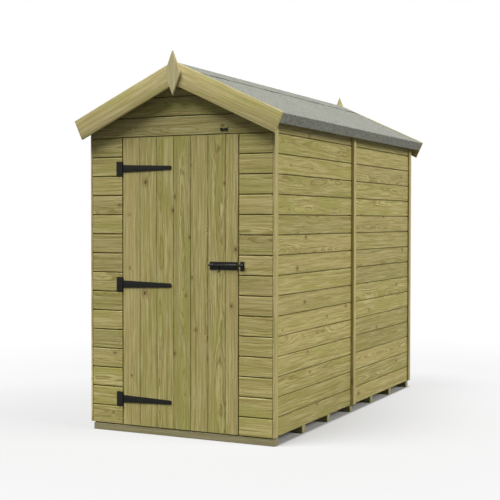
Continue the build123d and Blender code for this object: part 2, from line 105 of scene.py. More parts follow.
class Seed(Enum):
    """Where each run of chance differences starts."""

    WALLS = 11
    DOOR_BOARDS = 31
    LEDGES = 32
    BRACES = 33
    DOOR_NAILS = 34
    JOISTS = 41
    DECK = 42
    DECK_NAILS = 43
    STRIPS = 50
    BARGEBOARDS = 60
    FINIALS = 70
    TRIM_NAILS = 75
    ROOF_BOARDS = 81
    CLOUTS = 85
    SCREWS = 91
    FRAMING = 100


def dice_for(seed: Seed, number: int = 0) -> random.Random:
    """Dice that fall the same way on each run, for one of a run of pieces."""
    return random.Random(seed.value + number)


def under_roof(across: float) -> float:
    """Height of the roof boards' underside at a distance from the middle."""
    return RIDGE - TAN * abs(across) - ROOF_BOARD / COS


def on_slope(side: float, run: float, rise: float, along: float) -> Vector:
    """A place on a slope of the roof.

    Args:
        side: 1 for the right slope, -1 for the left one.
        run: how far down the slope from the ridge.
        rise: how far out of the roof boards' top.
        along: how far along the ridge.

    Returns:
        The place.
    """
    return Vector((side * (run * COS + rise * SIN), along, RIDGE - run * SIN + rise * COS))


def put_down() -> None:
    """Leaves object mode on, with nothing selected."""
    if bpy.context.object is not None and bpy.context.object.mode != "OBJECT":
        bpy.ops.object.mode_set(mode="OBJECT")
    bpy.ops.object.select_all(action="DESELECT")


def pick_up(*pieces: Piece) -> None:
    """Selects only these pieces and makes the first one active.

    Args:
        pieces: the pieces to work on.
    """
    put_down()
    for piece in pieces:
        piece.select_set(True)
    bpy.context.view_layer.objects.active = pieces[0]


@contextmanager
def editing(piece: Piece, pick: str = "EDGE") -> Iterator[None]:
    """Opens a piece in edit mode with nothing picked, and closes it afterwards.

    Args:
        piece: the piece to shape.
        pick: what is picked, VERT, EDGE or FACE.
    """
    pick_up(piece)
    bpy.ops.object.mode_set(mode="EDIT")
    bpy.ops.mesh.select_mode(type=pick)
    bpy.ops.mesh.select_all(action="DESELECT")
    yield
    bpy.ops.object.mode_set(mode="OBJECT")


def choose_edges(piece: Piece, wanted: Callable[[Vector, Vector], bool]) -> None:
    """Picks the edges of the piece being edited by where their two ends are.

    Args:
        piece: the piece in edit mode.
        wanted: tells whether an edge between two points is picked.
    """
    bpy.ops.mesh.select_mode(type="EDGE")
    shape = bmesh.from_edit_mesh(piece.data)
    for edge in shape.edges:
        edge.select_set(bool(wanted(edge.verts[0].co, edge.verts[1].co)))
    bmesh.update_edit_mesh(piece.data)


def choose_faces(piece: Piece, wanted: Callable[[Vector, Vector], bool]) -> None:
    """Picks the faces of the piece being edited by their middle and their normal.

    Args:
        piece: the piece in edit mode.
        wanted: tells whether a face with that middle and normal is picked.
    """
    bpy.ops.mesh.select_mode(type="FACE")
    shape = bmesh.from_edit_mesh(piece.data)
    shape.normal_update()
    for face in shape.faces:
        face.select_set(bool(wanted(face.calc_center_median(), face.normal)))
    bmesh.update_edit_mesh(piece.data)


def choose_points(piece: Piece, wanted: Callable[[Vector], bool]) -> None:
    """Picks the points of the piece being edited by where they are.

    Args:
        piece: the piece in edit mode.
        wanted: tells whether a point is picked.
    """
    bpy.ops.mesh.select_mode(type="VERT")
    shape = bmesh.from_edit_mesh(piece.data)
    for point in shape.verts:
        point.select_set(bool(wanted(point.co)))
    shape.select_flush_mode()
    bmesh.update_edit_mesh(piece.data)


def choose_all() -> None:
    """Picks the whole of the piece being edited."""
    bpy.ops.mesh.select_all(action="SELECT")


def slice_through(place_on: Sequence[float], normal: Sequence[float], **cleared: bool) -> None:
    """Cuts the whole piece being edited along a plane, and clears and fills a side of it if asked."""
    choose_all()
    bpy.ops.mesh.bisect(plane_co=place_on, plane_no=normal, **cleared)


def pull_out(move: Sequence[float]) -> None:
    """Pulls what is picked away, with new faces behind it."""
    bpy.ops.mesh.extrude_region_move(TRANSFORM_OT_translate={"value": move})


def round_off(width: float, steps: int = 2, profile: float = 0.5) -> None:
    """Rounds the picked edges, with this many facets."""
    bpy.ops.mesh.bevel(offset=width, segments=steps, profile=profile, affect="EDGES")


def settle(piece: Piece) -> None:
    """Puts a piece's place, turn and size into its mesh."""
    pick_up(piece)
    bpy.ops.object.transform_apply(location=True, rotation=True, scale=True)


def sawn_block(name: str, low: Sequence[float], high: Sequence[float]) -> Piece:
    """Saws a plain block between two corners.

    Args:
        name: the piece's name.
        low: its lowest corner.
        high: its highest corner.

    Returns:
        The block, with its place in its mesh.
    """
    put_down()
    middle = [(a + b) / 2 for a, b in zip(low, high)]
    size = [b - a for a, b in zip(low, high)]
    bpy.ops.mesh.primitive_cube_add(size=1.0, location=middle, scale=size)
    block = bpy.context.object
    block.name = name
    settle(block)
    return block


def copy_piece(piece: Piece, name: str) -> Piece:
    """Copies a piece with a mesh of its own.

    Args:
        piece: the piece that is copied.
        name: the copy's name.

    Returns:
        The copy.
    """
    twin = piece.copy()
    twin.data = piece.data.copy()
    twin.name = name
    bpy.context.scene.collection.objects.link(twin)
    return twin


def copy_node(node: str) -> Piece:
    """Copies a node's mesh as a piece of its own, with its triangles merged to whole faces.

    Args:
        node: the node that is copied.

    Returns:
        The copy, free of its body.
    """
    twin = copy_piece(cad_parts[node], f"{node}_eased")
    twin.parent = None
    for key in [key for key in twin.keys() if key.startswith("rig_")]:
        del twin[key]
    with editing(twin, "FACE"):
        choose_all()
        bpy.ops.mesh.remove_doubles(threshold=HAIR)
        bpy.ops.mesh.dissolve_limited(angle_limit=math.radians(1.0))
    return twin


def place(piece: Piece, move: Sequence[float] = (0.0, 0.0, 0.0), turn: Sequence[float] = (0.0, 0.0, 0.0),
          size: Sequence[float] = (1.0, 1.0, 1.0)) -> Piece:
    """Turns a piece, moves it and puts its place into its mesh.

    Args:
        piece: the piece.
        move: how far it moves.
        turn: its turn about X, Y and Z, in degrees.
        size: its scale; a negative one mirrors it and its normals are set right again.

    Returns:
        The same piece.
    """
    piece.rotation_euler = Euler([math.radians(a) for a in turn])
    piece.location = Vector(move)
    piece.scale = Vector(size)
    settle(piece)
    if min(size) < 0:
        with editing(piece, "FACE"):
            choose_all()
            bpy.ops.mesh.normals_make_consistent(inside=False)
    return piece


def mirror_over(piece: Piece, name: str) -> Piece:
    """Copies a piece to the other side of the shed."""
    return place(copy_piece(piece, name), size=(-1.0, 1.0, 1.0))


def join_up(pieces: Sequence[Piece], name: str) -> Piece:
    """Makes several pieces one.

    Args:
        pieces: the pieces, at least one.
        name: the joined piece's name.

    Returns:
        The joined piece.
    """
    pick_up(*pieces)
    if len(pieces) > 1:
        bpy.ops.object.join()
    joined = bpy.context.view_layer.objects.active
    joined.name = name
    joined.data.name = name
    return joined


def throw_away(*pieces: Piece) -> None:
    """Removes patterns that are no longer needed."""
    for piece in pieces:
        bpy.data.objects.remove(piece)


def ease_edges(piece: Piece, width: float, steps: int = 2) -> None:
    """Rounds every edge of a block.

    Args:
        piece: the piece.
        width: how far the rounding reaches from the edge.
        steps: how many facets it has.
    """
    with editing(piece):
        choose_all()
        round_off(width, steps)


def finish_with(piece: Piece, kind: str, **settings: object) -> None:
    """Gives a piece a modifier and applies it.

    Args:
        piece: the piece.
        kind: the modifier's kind.
        settings: the modifier's own settings.
    """
    modifier = piece.modifiers.new(kind.lower(), kind)
    for key, value in settings.items():
        setattr(modifier, key, value)
    pick_up(piece)
    bpy.ops.object.modifier_apply(modifier=modifier.name)


def smooth(piece: Piece, angle: float = 40.0) -> None:
    """Shades a piece smooth, apart from edges sharper than an angle in degrees."""
    pick_up(piece)
    bpy.ops.object.shade_smooth_by_angle(angle=math.radians(angle))


def corners(piece: Piece) -> np.ndarray:
    """Reads where the points of a piece's mesh are.

    Args:
        piece: the piece.

    Returns:
        The points, one row each.
    """
    points = np.empty(len(piece.data.vertices) * 3, np.float32)
    piece.data.vertices.foreach_get("co", points)
    return points.reshape(-1, 3)


def set_corners(piece: Piece, points: np.ndarray) -> None:
    """Moves the points of a piece's mesh to new places."""
    piece.data.vertices.foreach_set("co", points.astype(np.float32).ravel())
    piece.data.update()


def shift(piece: Piece, move: Sequence[float]) -> None:
    """Moves the points of a piece's mesh by the same step."""
    set_corners(piece, corners(piece) + np.array(move))


def timber_axes(points: np.ndarray) -> np.ndarray:
    """Finds how a timber lies from the spread of its points.

    Args:
        points: the timber's points, one row each.

    Returns:
        The directions of its length, width and thickness.
    """
    spread = points - (points.max(0) + points.min(0)) / 2
    _, axes = np.linalg.eigh((spread.T @ spread).astype(np.float64))
    return axes[:, ::-1].T


def write_attribute(piece: Piece, name: str, values: np.ndarray) -> None:
    """Writes three numbers at each point of a piece."""
    attribute = piece.data.attributes.new(name, "FLOAT_VECTOR", "POINT")
    attribute.data.foreach_set("vector", values.astype(np.float32).ravel())


def mark_grain(piece: Piece, dice: random.Random, axes: Optional[Sequence] = None,
               shade: Optional[Shade] = None, lighter: float = 0.0, rift: bool = False) -> None:
    """Writes where a board was cut from its log, its tint, and the painted shade and stain of its joints.

    Args:
        piece: one board or timber.
        dice: gives the board its own place in the log.
        axes: directions of its length, width and thickness, or none to find them.
        shade: tells how much painted shade and stain each point gets from sitting in a joint, 0 to 1.
        lighter: how much lighter than usual the board is, in the same steps as its chance tint; on the gables
            a lower value is painted shade.
        rift: cut away from the log's middle, so that its rings run straight.
    """
    nearest, farthest, widest = 0.012, 0.075, 0.055
    rift_share, rift_step = 0.4, 0.10
    points = corners(piece)
    directions = np.array(axes if axes is not None else timber_axes(points), np.float64)
    local = (points - (points.max(0) + points.min(0)) / 2) @ directions.T
    heart = dice.uniform(nearest, farthest) * dice.choice((-1, 1))
    aside = dice.uniform(-widest, widest)
    if rift or dice.random() < rift_share:
        aside += math.copysign(rift_step, aside)
    local += np.array([dice.uniform(1.0, 30.0), aside, heart])
    write_attribute(piece, "grain", local)
    # The board attribute: chance tone, lightness (lowered on the gables as painted shade), and the painted
    # shade and stain of the joints
    board = np.zeros_like(points)
    board[:, 0] = dice.random()
    board[:, 1] = dice.uniform(-1.0, 1.0) + lighter
    if shade is not None:
        board[:, 2] = shade(points)
    write_attribute(piece, "board", board)


def copies_along(pattern: Piece, moves: Sequence[Sequence[float]], dice: random.Random,
                 axes: Optional[Sequence] = None, shade: Optional[Shade] = None) -> list[Piece]:
    """Copies a timber to each place, each with a grain of its own, and removes the pattern.

    Args:
        pattern: the timber that is copied.
        moves: how far each copy moves.
        dice: gives each copy its own place in the log.
        axes: directions of its length, width and thickness, or none to find them.
        shade: tells how much painted shade and stain each point gets from sitting in a joint, 0 to 1.

    Returns:
        The copies.
    """
    pieces = []
    for move in moves:
        piece = copy_piece(pattern, f"{pattern.name}_copy")
        mark_grain(piece, dice, axes, shade)
        shift(piece, move)
        pieces.append(piece)
    throw_away(pattern)
    return pieces


def hand_over(piece: Piece, body: str, slot: str, finish: Material, *nodes: str) -> None:
    """Gives a finished piece its material, its body and the nodes it stands for.

    Args:
        piece: the finished piece.
        body: the body it moves with.
        slot: the record's material slot; not used.
        finish: its material.
        nodes: the nodes it replaces.
    """
    piece.data.materials.clear()
    piece.data.materials.append(finish)
    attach(piece, body)
    if nodes:
        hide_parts(*nodes)
    LOG.info("%s: %d faces on %s", piece.name, len(piece.data.polygons), body)


def paint(red: float, green: float, blue: float) -> tuple[float, float, float, float]:
    """Turns a colour as seen on a screen into the linear values that shaders use.

    Args:
        red: the red part, 0 to 255.
        green: the green part.
        blue: the blue part.

    Returns:
        The linear colour, with its opacity.
    """
    def linear(value: float) -> float:
        """One channel, made linear."""
        part = value / 255.0
        return part / 12.92 if part <= 0.04045 else ((part + 0.055) / 1.055) ** 2.4
    return linear(red), linear(green), linear(blue), 1.0


class Wiring:
    """The nodes of a material or a world, with a short way to add each kind."""

    def __init__(self, owner: Union[Material, bpy.types.World]) -> None:
        """Starts with no node.

        Args:
            owner: the material or world that is wired.
        """
        self.owner = owner
        owner.use_nodes = True
        self.tree = owner.node_tree
        self.tree.nodes.clear()

    def add(self, kind: str, **settings: object) -> bpy.types.Node:
        """Adds a node.

        Args:
            kind: the node's kind.
            settings: the node's own properties.

        Returns:
            The node.
        """
        node = self.tree.nodes.new(kind)
        for key, value in settings.items():
            setattr(node, key, value)
        return node

    def feed(self, socket: Socket, value: object) -> None:
        """Links or sets a socket.

        Args:
            socket: the socket that is fed.
            value: another socket, a number, or a colour as seen on a screen.
        """
        if isinstance(value, Socket):
            self.tree.links.new(value, socket)
        else:
            socket.default_value = paint(*value) if isinstance(value, tuple) else value

    def feed_all(self, sockets: Sequence[Socket], *values: object) -> None:
        """Feeds the first sockets of a row, one value each."""
        for socket, value in zip(sockets, values):
            self.feed(socket, value)

    def math(self, how: str, *values: object) -> Socket:
        """Works out a sum.

        Args:
            how: the sum's kind.
            values: its numbers or sockets.

        Returns:
            The result.
        """
        node = self.add("ShaderNodeMath", operation=how)
        self.feed_all(node.inputs, *values)
        return node.outputs[0]

    def plus(self, first: object, second: object) -> Socket:
        """Two numbers added."""
        return self.math("ADD", first, second)

    def minus(self, first: object, second: object) -> Socket:
        """One number less another."""
        return self.math("SUBTRACT", first, second)

    def times(self, first: object, second: object) -> Socket:
        """Two numbers multiplied."""
        return self.math("MULTIPLY", first, second)

    def line(self, value: object, by: float, start: object) -> Socket:
        """A number multiplied, then added to."""
        return self.math("MULTIPLY_ADD", value, by, start)

    def stretch(self, where: object, by: Sequence[float]) -> Socket:
        """Multiplies a place along each axis.

        Args:
            where: the place.
            by: the three factors.

        Returns:
            The new place.
        """
        node = self.add("ShaderNodeVectorMath", operation="MULTIPLY")
        self.feed(node.inputs[0], where)
        node.inputs[1].default_value = by
        return node.outputs[0]

    def noise(self, where: object, scale: Union[float, Triple], detail: float = 3.0,
              rough: float = 0.5, along: str = "3D") -> Socket:
        """Cloudy noise.

        Args:
            where: the place, or the number that it varies along.
            scale: how tight the noise is, or how tight along each axis.
            detail: how many finer layers it has.
            rough: how strong the finer layers are.
            along: 3D for a place, 1D for a number.

        Returns:
            A number around the middle of 0 to 1.
        """
        if not isinstance(scale, float):
            where, scale = self.stretch(where, scale), 1.0
        node = self.add("ShaderNodeTexNoise", noise_dimensions=along)
        self.feed(node.inputs["W" if along == "1D" else "Vector"], where)
        node.inputs["Scale"].default_value = scale
        node.inputs["Detail"].default_value = detail
        node.inputs["Roughness"].default_value = rough
        return node.outputs[0]

    def rise(self, value: object, low: float, high: float, bottom: float = 0.0, top: float = 1.0) -> Socket:
        """A soft step.

        Args:
            value: what is stepped.
            low: where the step starts.
            high: where it ends.
            bottom: the result below it.
            top: the result above it.

        Returns:
            The result.
        """
        node = self.add("ShaderNodeMapRange", interpolation_type="SMOOTHSTEP")
        self.feed_all(node.inputs, value, low, high, bottom, top)
        return node.outputs[0]

    def mix(self, part: object, first: object, second: object, how: str = "MIX") -> Socket:
        """Mixes two colours.

        Args:
            part: how much of the second one.
            first: the first colour.
            second: the second colour.
            how: the kind of mix.

        Returns:
            The mixed colour.
        """
        node = self.add("ShaderNodeMix", data_type="RGBA", blend_type=how)
        self.feed(node.inputs[0], part)
        self.feed_all(node.inputs[6:8], first, second)
        return node.outputs[2]

    def parts(self, where: object) -> list[Socket]:
        """The three numbers of a place.

        Args:
            where: the place.

        Returns:
            Its X, Y and Z.
        """
        node = self.add("ShaderNodeSeparateXYZ")
        self.feed(node.inputs[0], where)
        return list(node.outputs)

    def own(self, name: str) -> Socket:
        """A piece's own attribute, as a place."""
        return self.add("ShaderNodeAttribute", attribute_name=name).outputs["Vector"]

    def here(self) -> Socket:
        """The place on the piece, in metres."""
        return self.add("ShaderNodeTexCoord").outputs["Object"]

    def end(self, kind: str, shader: Socket) -> None:
        """Ends the wiring in an output of this kind."""
        self.feed(self.add(kind).inputs["Surface"], shader)

    def surface(self, colour: object, rough: object, height: object, bump: float, depth: float,
                **plain: float) -> Material:
        """Ends a material's wiring with its shader.

        Args:
            colour: the base colour.
            rough: the roughness.
            height: the height of the fine relief.
            bump: the relief's strength.
            depth: the relief's depth in metres.
            plain: numbers for the shader's own sockets, with underscores for spaces.

        Returns:
            The finished material.
        """
        shader = self.add("ShaderNodeBsdfPrincipled")
        self.feed(shader.inputs["Base Color"], colour)
        self.feed(shader.inputs["Roughness"], rough)
        for key, value in plain.items():
            shader.inputs[key.replace("_", " ")].default_value = value
        relief = self.add("ShaderNodeBump")
        relief.inputs["Strength"].default_value = bump
        relief.inputs["Distance"].default_value = depth
        self.feed(relief.inputs["Height"], height)
        self.feed(shader.inputs["Normal"], relief.outputs[0])
        self.end("ShaderNodeOutputMaterial", shader.outputs[0])
        return self.owner


@dataclass(frozen=True)
class TreatedPine:
    """Pressure treated pine: growth rings, fibres, knots, green and pink tints, and joints darkened with
    painted shade and stain.
    """

    name: str
    early: Triple = (179, 169, 111)
    late: Triple = (112, 97, 34)
    pale: Triple = (207, 198, 154)
    green: Triple = (142, 140, 66)
    pink: Triple = (178, 160, 110)
    knot: Triple = (84, 54, 20)
    # Colour of the joints' painted shade, partly stain, in the recesses where shade falls
    joint: Triple = (84, 76, 32)
    ring: float = 0.0070
    knots: float = 0.40
    knot_cells: Triple = (3.1, 9.0, 0.0)
    knot_length: float = 0.72
    relief: float = 0.25
    ripples: Triple = (8.0, 26.0, 26.0)
    fibres: Triple = (9.0, 420.0, 420.0)
    streaks: Triple = (4.5, 150.0, 150.0)
    drifts: Triple = (1.3, 38.0, 38.0)
    patches: Triple = (2.8, 13.0, 13.0)
    bands: Triple = (1.6, 26.0, 26.0)

    def ring_count(self, wire: Wiring, grain: Socket, swirl: object) -> Socket:
        """Counts growth rings from the log's wandering middle.

        Args:
            wire: the material being wired.
            grain: the place in the log.
            swirl: how far the rings swing round a knot.

        Returns:
            The number of rings from the middle.
        """
        _, across, deep = wire.parts(grain)
        sway = wire.noise(grain, (1.1, 1.5, 1.5), 2.0)
        lift = wire.noise(grain, (1.3, 2.0, 2.0), 2.0)
        wide = wire.plus(across, wire.line(sway, 0.08, -0.04))
        high = wire.plus(deep, wire.line(lift, 0.09, -0.045))
        square = wire.plus(wire.times(wide, wide), wire.times(high, high))
        ripple = wire.noise(grain, self.ripples)
        reach = wire.plus(wire.math("SQRT", square), wire.times(ripple, 0.016))
        return wire.plus(wire.math("DIVIDE", reach, self.ring), swirl)

    def knot_marks(self, wire: Wiring, grain: Socket) -> tuple:
        """Scatters knots along the boards.

        Args:
            wire: the material being wired.
            grain: the place in the log.

        Returns:
            How much of a point is knot, and how far the rings swing round it.
        """
        shrunk = wire.stretch(grain, self.knot_cells)
        voronoi = wire.add("ShaderNodeTexVoronoi", feature="F1", voronoi_dimensions="2D")
        wire.feed(voronoi.inputs["Vector"], shrunk)
        voronoi.inputs["Scale"].default_value = 1.0
        voronoi.inputs["Randomness"].default_value = 0.9
        gap = wire.add("ShaderNodeVectorMath", operation="SUBTRACT")
        wire.feed_all(gap.inputs, shrunk, voronoi.outputs["Position"])
        long_cell, wide_cell, _ = self.knot_cells
        flat = wire.stretch(gap.outputs[0], (self.knot_length / long_cell, 1.0 / wide_cell, 0.0))
        length = wire.add("ShaderNodeVectorMath", operation="LENGTH")
        wire.feed(length.inputs[0], flat)
        ragged = wire.line(wire.noise(grain, 260.0, 2.0), 0.003, length.outputs["Value"])
        split = wire.add("ShaderNodeSeparateColor")
        wire.feed(split.inputs[0], voronoi.outputs["Color"])
        there = wire.math("LESS_THAN", split.outputs[0], self.knots)
        size = wire.line(split.outputs[1], 0.006, 0.0045)
        away = wire.math("DIVIDE", ragged, size)
        core = wire.rise(away, 0.75, 1.15, 0.92, 0.0)
        halo = wire.rise(away, 1.0, 3.2, 0.36, 0.0)
        swing = wire.rise(away, 0.6, 6.0, 2.2, 0.0)
        return wire.times(wire.math("MAXIMUM", core, halo), there), wire.times(swing, there)

    def grained(self, wire: Wiring, lean: Socket, dark: Socket, streak: Socket, drift: Socket) -> Socket:
        """Colours the wood by its rings and streaks.

        Args:
            wire: the material being wired.
            lean: how lean the ring's year was.
            dark: how far into its late wood a point is.
            streak: the short streaks along the grain.
            drift: the long pale and dark drifts.

        Returns:
            The colour before tints and knots.
        """
        wood = wire.mix(wire.rise(lean, 0.40, 0.64, 0.0, 0.40), self.early, self.late)
        wood = wire.mix(wire.times(dark, 0.66), wood, self.late)
        wood = wire.mix(wire.rise(streak, 0.50, 0.64, 0.0, 0.42), wood, self.late)
        wood = wire.mix(wire.rise(streak, 0.36, 0.50, 0.40, 0.0), wood, self.pale)
        return wire.mix(wire.rise(drift, 0.42, 0.70, 0.0, 0.22), wood, self.late)

    def material(self) -> Material:
        """Wires the wood up from the boards' own grain and board attributes.

        Returns:
            The finished material.
        """
        wire = Wiring(bpy.data.materials.new(self.name))
        grain = wire.own("grain")
        # Tone, lightness (lowered on the gables as painted shade), and the joints' painted shade and stain
        tone, light, joint = wire.parts(wire.own("board"))
        spot, swirl = self.knot_marks(wire, grain)
        turns = self.ring_count(wire, grain, swirl)
        ring = wire.math("FRACT", turns)
        dark = wire.times(wire.rise(ring, 0.38, 0.84), wire.rise(ring, 0.86, 1.0, 1.0, 0.0))
        year = wire.plus(wire.times(turns, 0.42), wire.times(tone, 57.0))
        lean = wire.noise(year, 1.0, 2.0, 0.6, "1D")
        fibre = wire.noise(grain, self.fibres, 4.0, 0.62)
        streak = wire.noise(grain, self.streaks, 4.0, 0.66)
        patch = wire.noise(grain, self.patches, 3.0, 0.6)
        wood = self.grained(wire, lean, dark, streak, wire.noise(grain, self.drifts, 2.0))
        tinted = wire.times(wire.rise(patch, 0.42, 0.64, 0.0, 0.8), wire.minus(1.1, tone))
        wood = wire.mix(wire.times(tinted, 0.7), wood, self.green)
        band = wire.noise(grain, self.bands, 2.0)
        blush = wire.times(wire.rise(band, 0.42, 0.66), wire.rise(tone, 0.25, 0.95, 0.0, 0.42))
        wood = wire.mix(blush, wood, self.pink)
        bright = wire.plus(wire.line(light, 0.100, 0.83), wire.times(fibre, 0.34))
        shine = wire.add("ShaderNodeCombineColor")
        wire.feed_all(shine.inputs, bright, bright, bright)
        wood = wire.mix(1.0, wood, shine.outputs[0], "MULTIPLY")
        wood = wire.mix(spot, wood, self.knot)
        # Joints darkened towards their colour: painted shade in the recesses, partly stain
        wood = wire.mix(wire.times(joint, 0.7), wood, self.joint)
        height = wire.plus(wire.times(dark, 0.35), wire.times(fibre, 0.65))
        rough = wire.line(streak, 0.2, 0.58)
        return wire.surface(wood, rough, height, self.relief, 0.0006, Specular_IOR_Level=0.3)


@dataclass(frozen=True)
class MineralFelt:
    """Grey mineral felt with fine granules and slow patches."""

    name: str = "mineral_felt"
    pale: Triple = (134, 136, 127)
    dark: Triple = (68, 70, 63)
    granules: float = 420.0
    clumps: float = 62.0
    patches: float = 3.0

    def material(self) -> Material:
        """Wires the felt up on object coordinates.

        Returns:
            The finished material.
        """
        wire = Wiring(bpy.data.materials.new(self.name))
        here = wire.here()
        grit = wire.noise(here, self.granules, 4.0, 0.7)
        clump = wire.noise(here, self.clumps, 5.0, 0.8)
        patch = wire.noise(here, self.patches, 2.0)
        blend = wire.plus(wire.times(grit, 0.45), wire.times(clump, 0.55))
        colour = wire.mix(wire.rise(blend, 0.42, 0.58), self.dark, self.pale)
        colour = wire.mix(wire.rise(patch, 0.3, 0.8, 0.0, 0.18), colour, self.pale)
        return wire.surface(colour, 0.9, grit, 0.5, 0.0012, Specular_IOR_Level=0.2,
                            Sheen_Weight=0.15, Sheen_Roughness=0.6)


@dataclass(frozen=True)
class BlackIron:
    """Satin black coated steel with a faint orange peel."""

    name: str = "black_iron"
    colour: Triple = (19, 19, 15)
    worn: Triple = (35, 35, 28)
    smoothest: float = 0.32

    def material(self) -> Material:
        """Wires the coating up on object coordinates.

        Returns:
            The finished material.
        """
        wire = Wiring(bpy.data.materials.new(self.name))
        here = wire.here()
        peel = wire.noise(here, 900.0, 2.0)
        cloud = wire.noise(here, 60.0)
        colour = wire.mix(wire.rise(cloud, 0.45, 0.8, 0.0, 0.35), self.colour, self.worn)
        rough = wire.line(cloud, 0.2, self.smoothest)
        return wire.surface(colour, rough, peel, 0.12, 0.0003, Specular_IOR_Level=0.17)


@dataclass(frozen=True)
class ZincNail:
    """Dull zinc of nail heads, a little stained by the wood."""

    name: str = "zinc_nail"
    colour: Triple = (118, 114, 98)
    stain: Triple = (84, 76, 52)

    def material(self) -> Material:
        """Wires the zinc up on object coordinates.

        Returns:
            The finished material.
        """
        wire = Wiring(bpy.data.materials.new(self.name))
        cloud = wire.noise(wire.here(), 240.0)
        colour = wire.mix(wire.rise(cloud, 0.35, 0.7), self.colour, self.stain)
        return wire.surface(colour, wire.line(cloud, 0.25, 0.4), cloud, 0.2, 0.0003, Metallic=0.6)


@dataclass
class NailHead:
    """A round nail's head, driven nearly flush."""

    across: float = 0.0046
    proud: float = 0.0003
    deep: float = 0.0015
    sides: int = 8
    ease_share: float = 0.09

    def pattern(self) -> Piece:
        """Turns one head.

        Returns:
            The head, facing up with the wood's surface at zero.
        """
        put_down()
        bpy.ops.mesh.primitive_cylinder_add(vertices=self.sides, radius=self.across / 2, depth=self.deep,
                                            location=(0.0, 0.0, self.proud - self.deep / 2))
        head = bpy.context.object
        settle(head)
        with editing(head):
            choose_edges(head, lambda a, b: min(a.z, b.z) > self.proud - 1e-6)
            round_off(self.across * self.ease_share, 1)
        return head


@dataclass
class ScrewHead:
    """A round screw's head with a cross recess."""

    across: float = 0.0072
    tall: float = 0.0011
    sunk: float = 0.001
    recess: float = 0.0021
    deep: float = 0.0008
    sides: int = 12
    first_turn: float = 15.0
    waist: float = 0.36

    def pattern(self) -> Piece:
        """Turns one head and presses the cross into it.

        Returns:
            The head, facing up with the metal's surface at zero.
        """
        put_down()
        bpy.ops.mesh.primitive_cylinder_add(vertices=self.sides, radius=self.across / 2,
                                            depth=self.tall + self.sunk,
                                            location=(0.0, 0.0, (self.tall - self.sunk) / 2),
                                            rotation=(0.0, 0.0, math.radians(self.first_turn)))
        head = bpy.context.object
        settle(head)
        rounding = self.tall * 0.5
        with editing(head):
            choose_edges(head, lambda a, b: min(a.z, b.z) > self.tall - 1e-6)
            round_off(rounding)
            choose_faces(head, lambda middle, normal: normal.z > 0.9 and middle.xy.length < HAIR)
            bpy.ops.mesh.inset(thickness=self.across / 2 - rounding - self.recess)
            choose_points(head, self.between_arms)
            bpy.ops.transform.resize(value=(self.waist, self.waist, 1.0),
                                     center_override=(0.0, 0.0, self.tall))
            choose_faces(head, lambda middle, normal: normal.z > 0.9 and middle.xy.length < 10 * HAIR)
            pull_out((0.0, 0.0, -self.deep))
        return head

    def between_arms(self, point: Vector) -> bool:
        """Tells the recess's four points that lie between the arms of the cross."""
        near = point.z > self.tall - HAIR and point.xy.length < self.recess + 10 * HAIR
        return near and abs(abs(point.x) - abs(point.y)) < 10 * HAIR


@dataclass
class Stock:
    """The finishes and the fasteners' heads that every sub-assembly draws on, made once."""

    cladding: Material = field(default_factory=TreatedPine("cladding_pine").material)
    trim: Material = field(default_factory=TreatedPine(
        "trim_pine", early=(184, 172, 124), late=(132, 118, 64), pale=(194, 185, 138),
        ring=0.0064, knots=0.16,
    ).material)
    finial: Material = field(default_factory=TreatedPine(
        "finial_pine", early=(178, 168, 132), late=(138, 126, 84), pale=(190, 183, 150),
        green=(146, 144, 96), ring=0.0064, knots=0.0,
    ).material)
    framing: Material = field(default_factory=TreatedPine(
        "framing_pine", early=(164, 157, 118), late=(122, 113, 74), pale=(180, 174, 136),
        green=(128, 132, 86), pink=(158, 144, 114), ring=0.006, knots=0.25, relief=0.4,
    ).material)
    felt: Material = field(default_factory=MineralFelt().material)
    iron: Material = field(default_factory=BlackIron().material)
    zinc: Material = field(default_factory=ZincNail().material)
    clout_zinc: Material = field(default_factory=ZincNail(
        "zinc_clout", colour=(132, 133, 128), stain=(96, 97, 93),
    ).material)
    nail: Piece = field(default_factory=NailHead().pattern)
    clout: Piece = field(default_factory=NailHead(across=0.0075, proud=0.0006).pattern)
    screw: Piece = field(default_factory=ScrewHead().pattern)

    def clear_away(self) -> None:
        """Removes the heads' patterns."""
        throw_away(self.nail, self.clout, self.screw)


def drive(pattern: Piece, name: str, spots: Spots, dice: random.Random) -> Piece:
    """Copies a head to every spot, each turned by chance.

    Args:
        pattern: the head, facing up at the origin.
        name: the joined heads' name.
        spots: the place and the facing of each head.
        dice: turns the heads.

    Returns:
        The heads as one piece.
    """
    heads = []
    for spot, facing in spots:
        head = copy_piece(pattern, name)
        spin = Matrix.Rotation(dice.uniform(0.0, math.tau), 3, "Z")
        turn = facing.to_track_quat("Z", "Y").to_matrix() @ spin
        set_corners(head, corners(head) @ np.array(turn).T + np.array(spot))
        heads.append(head)
    return join_up(heads, name)


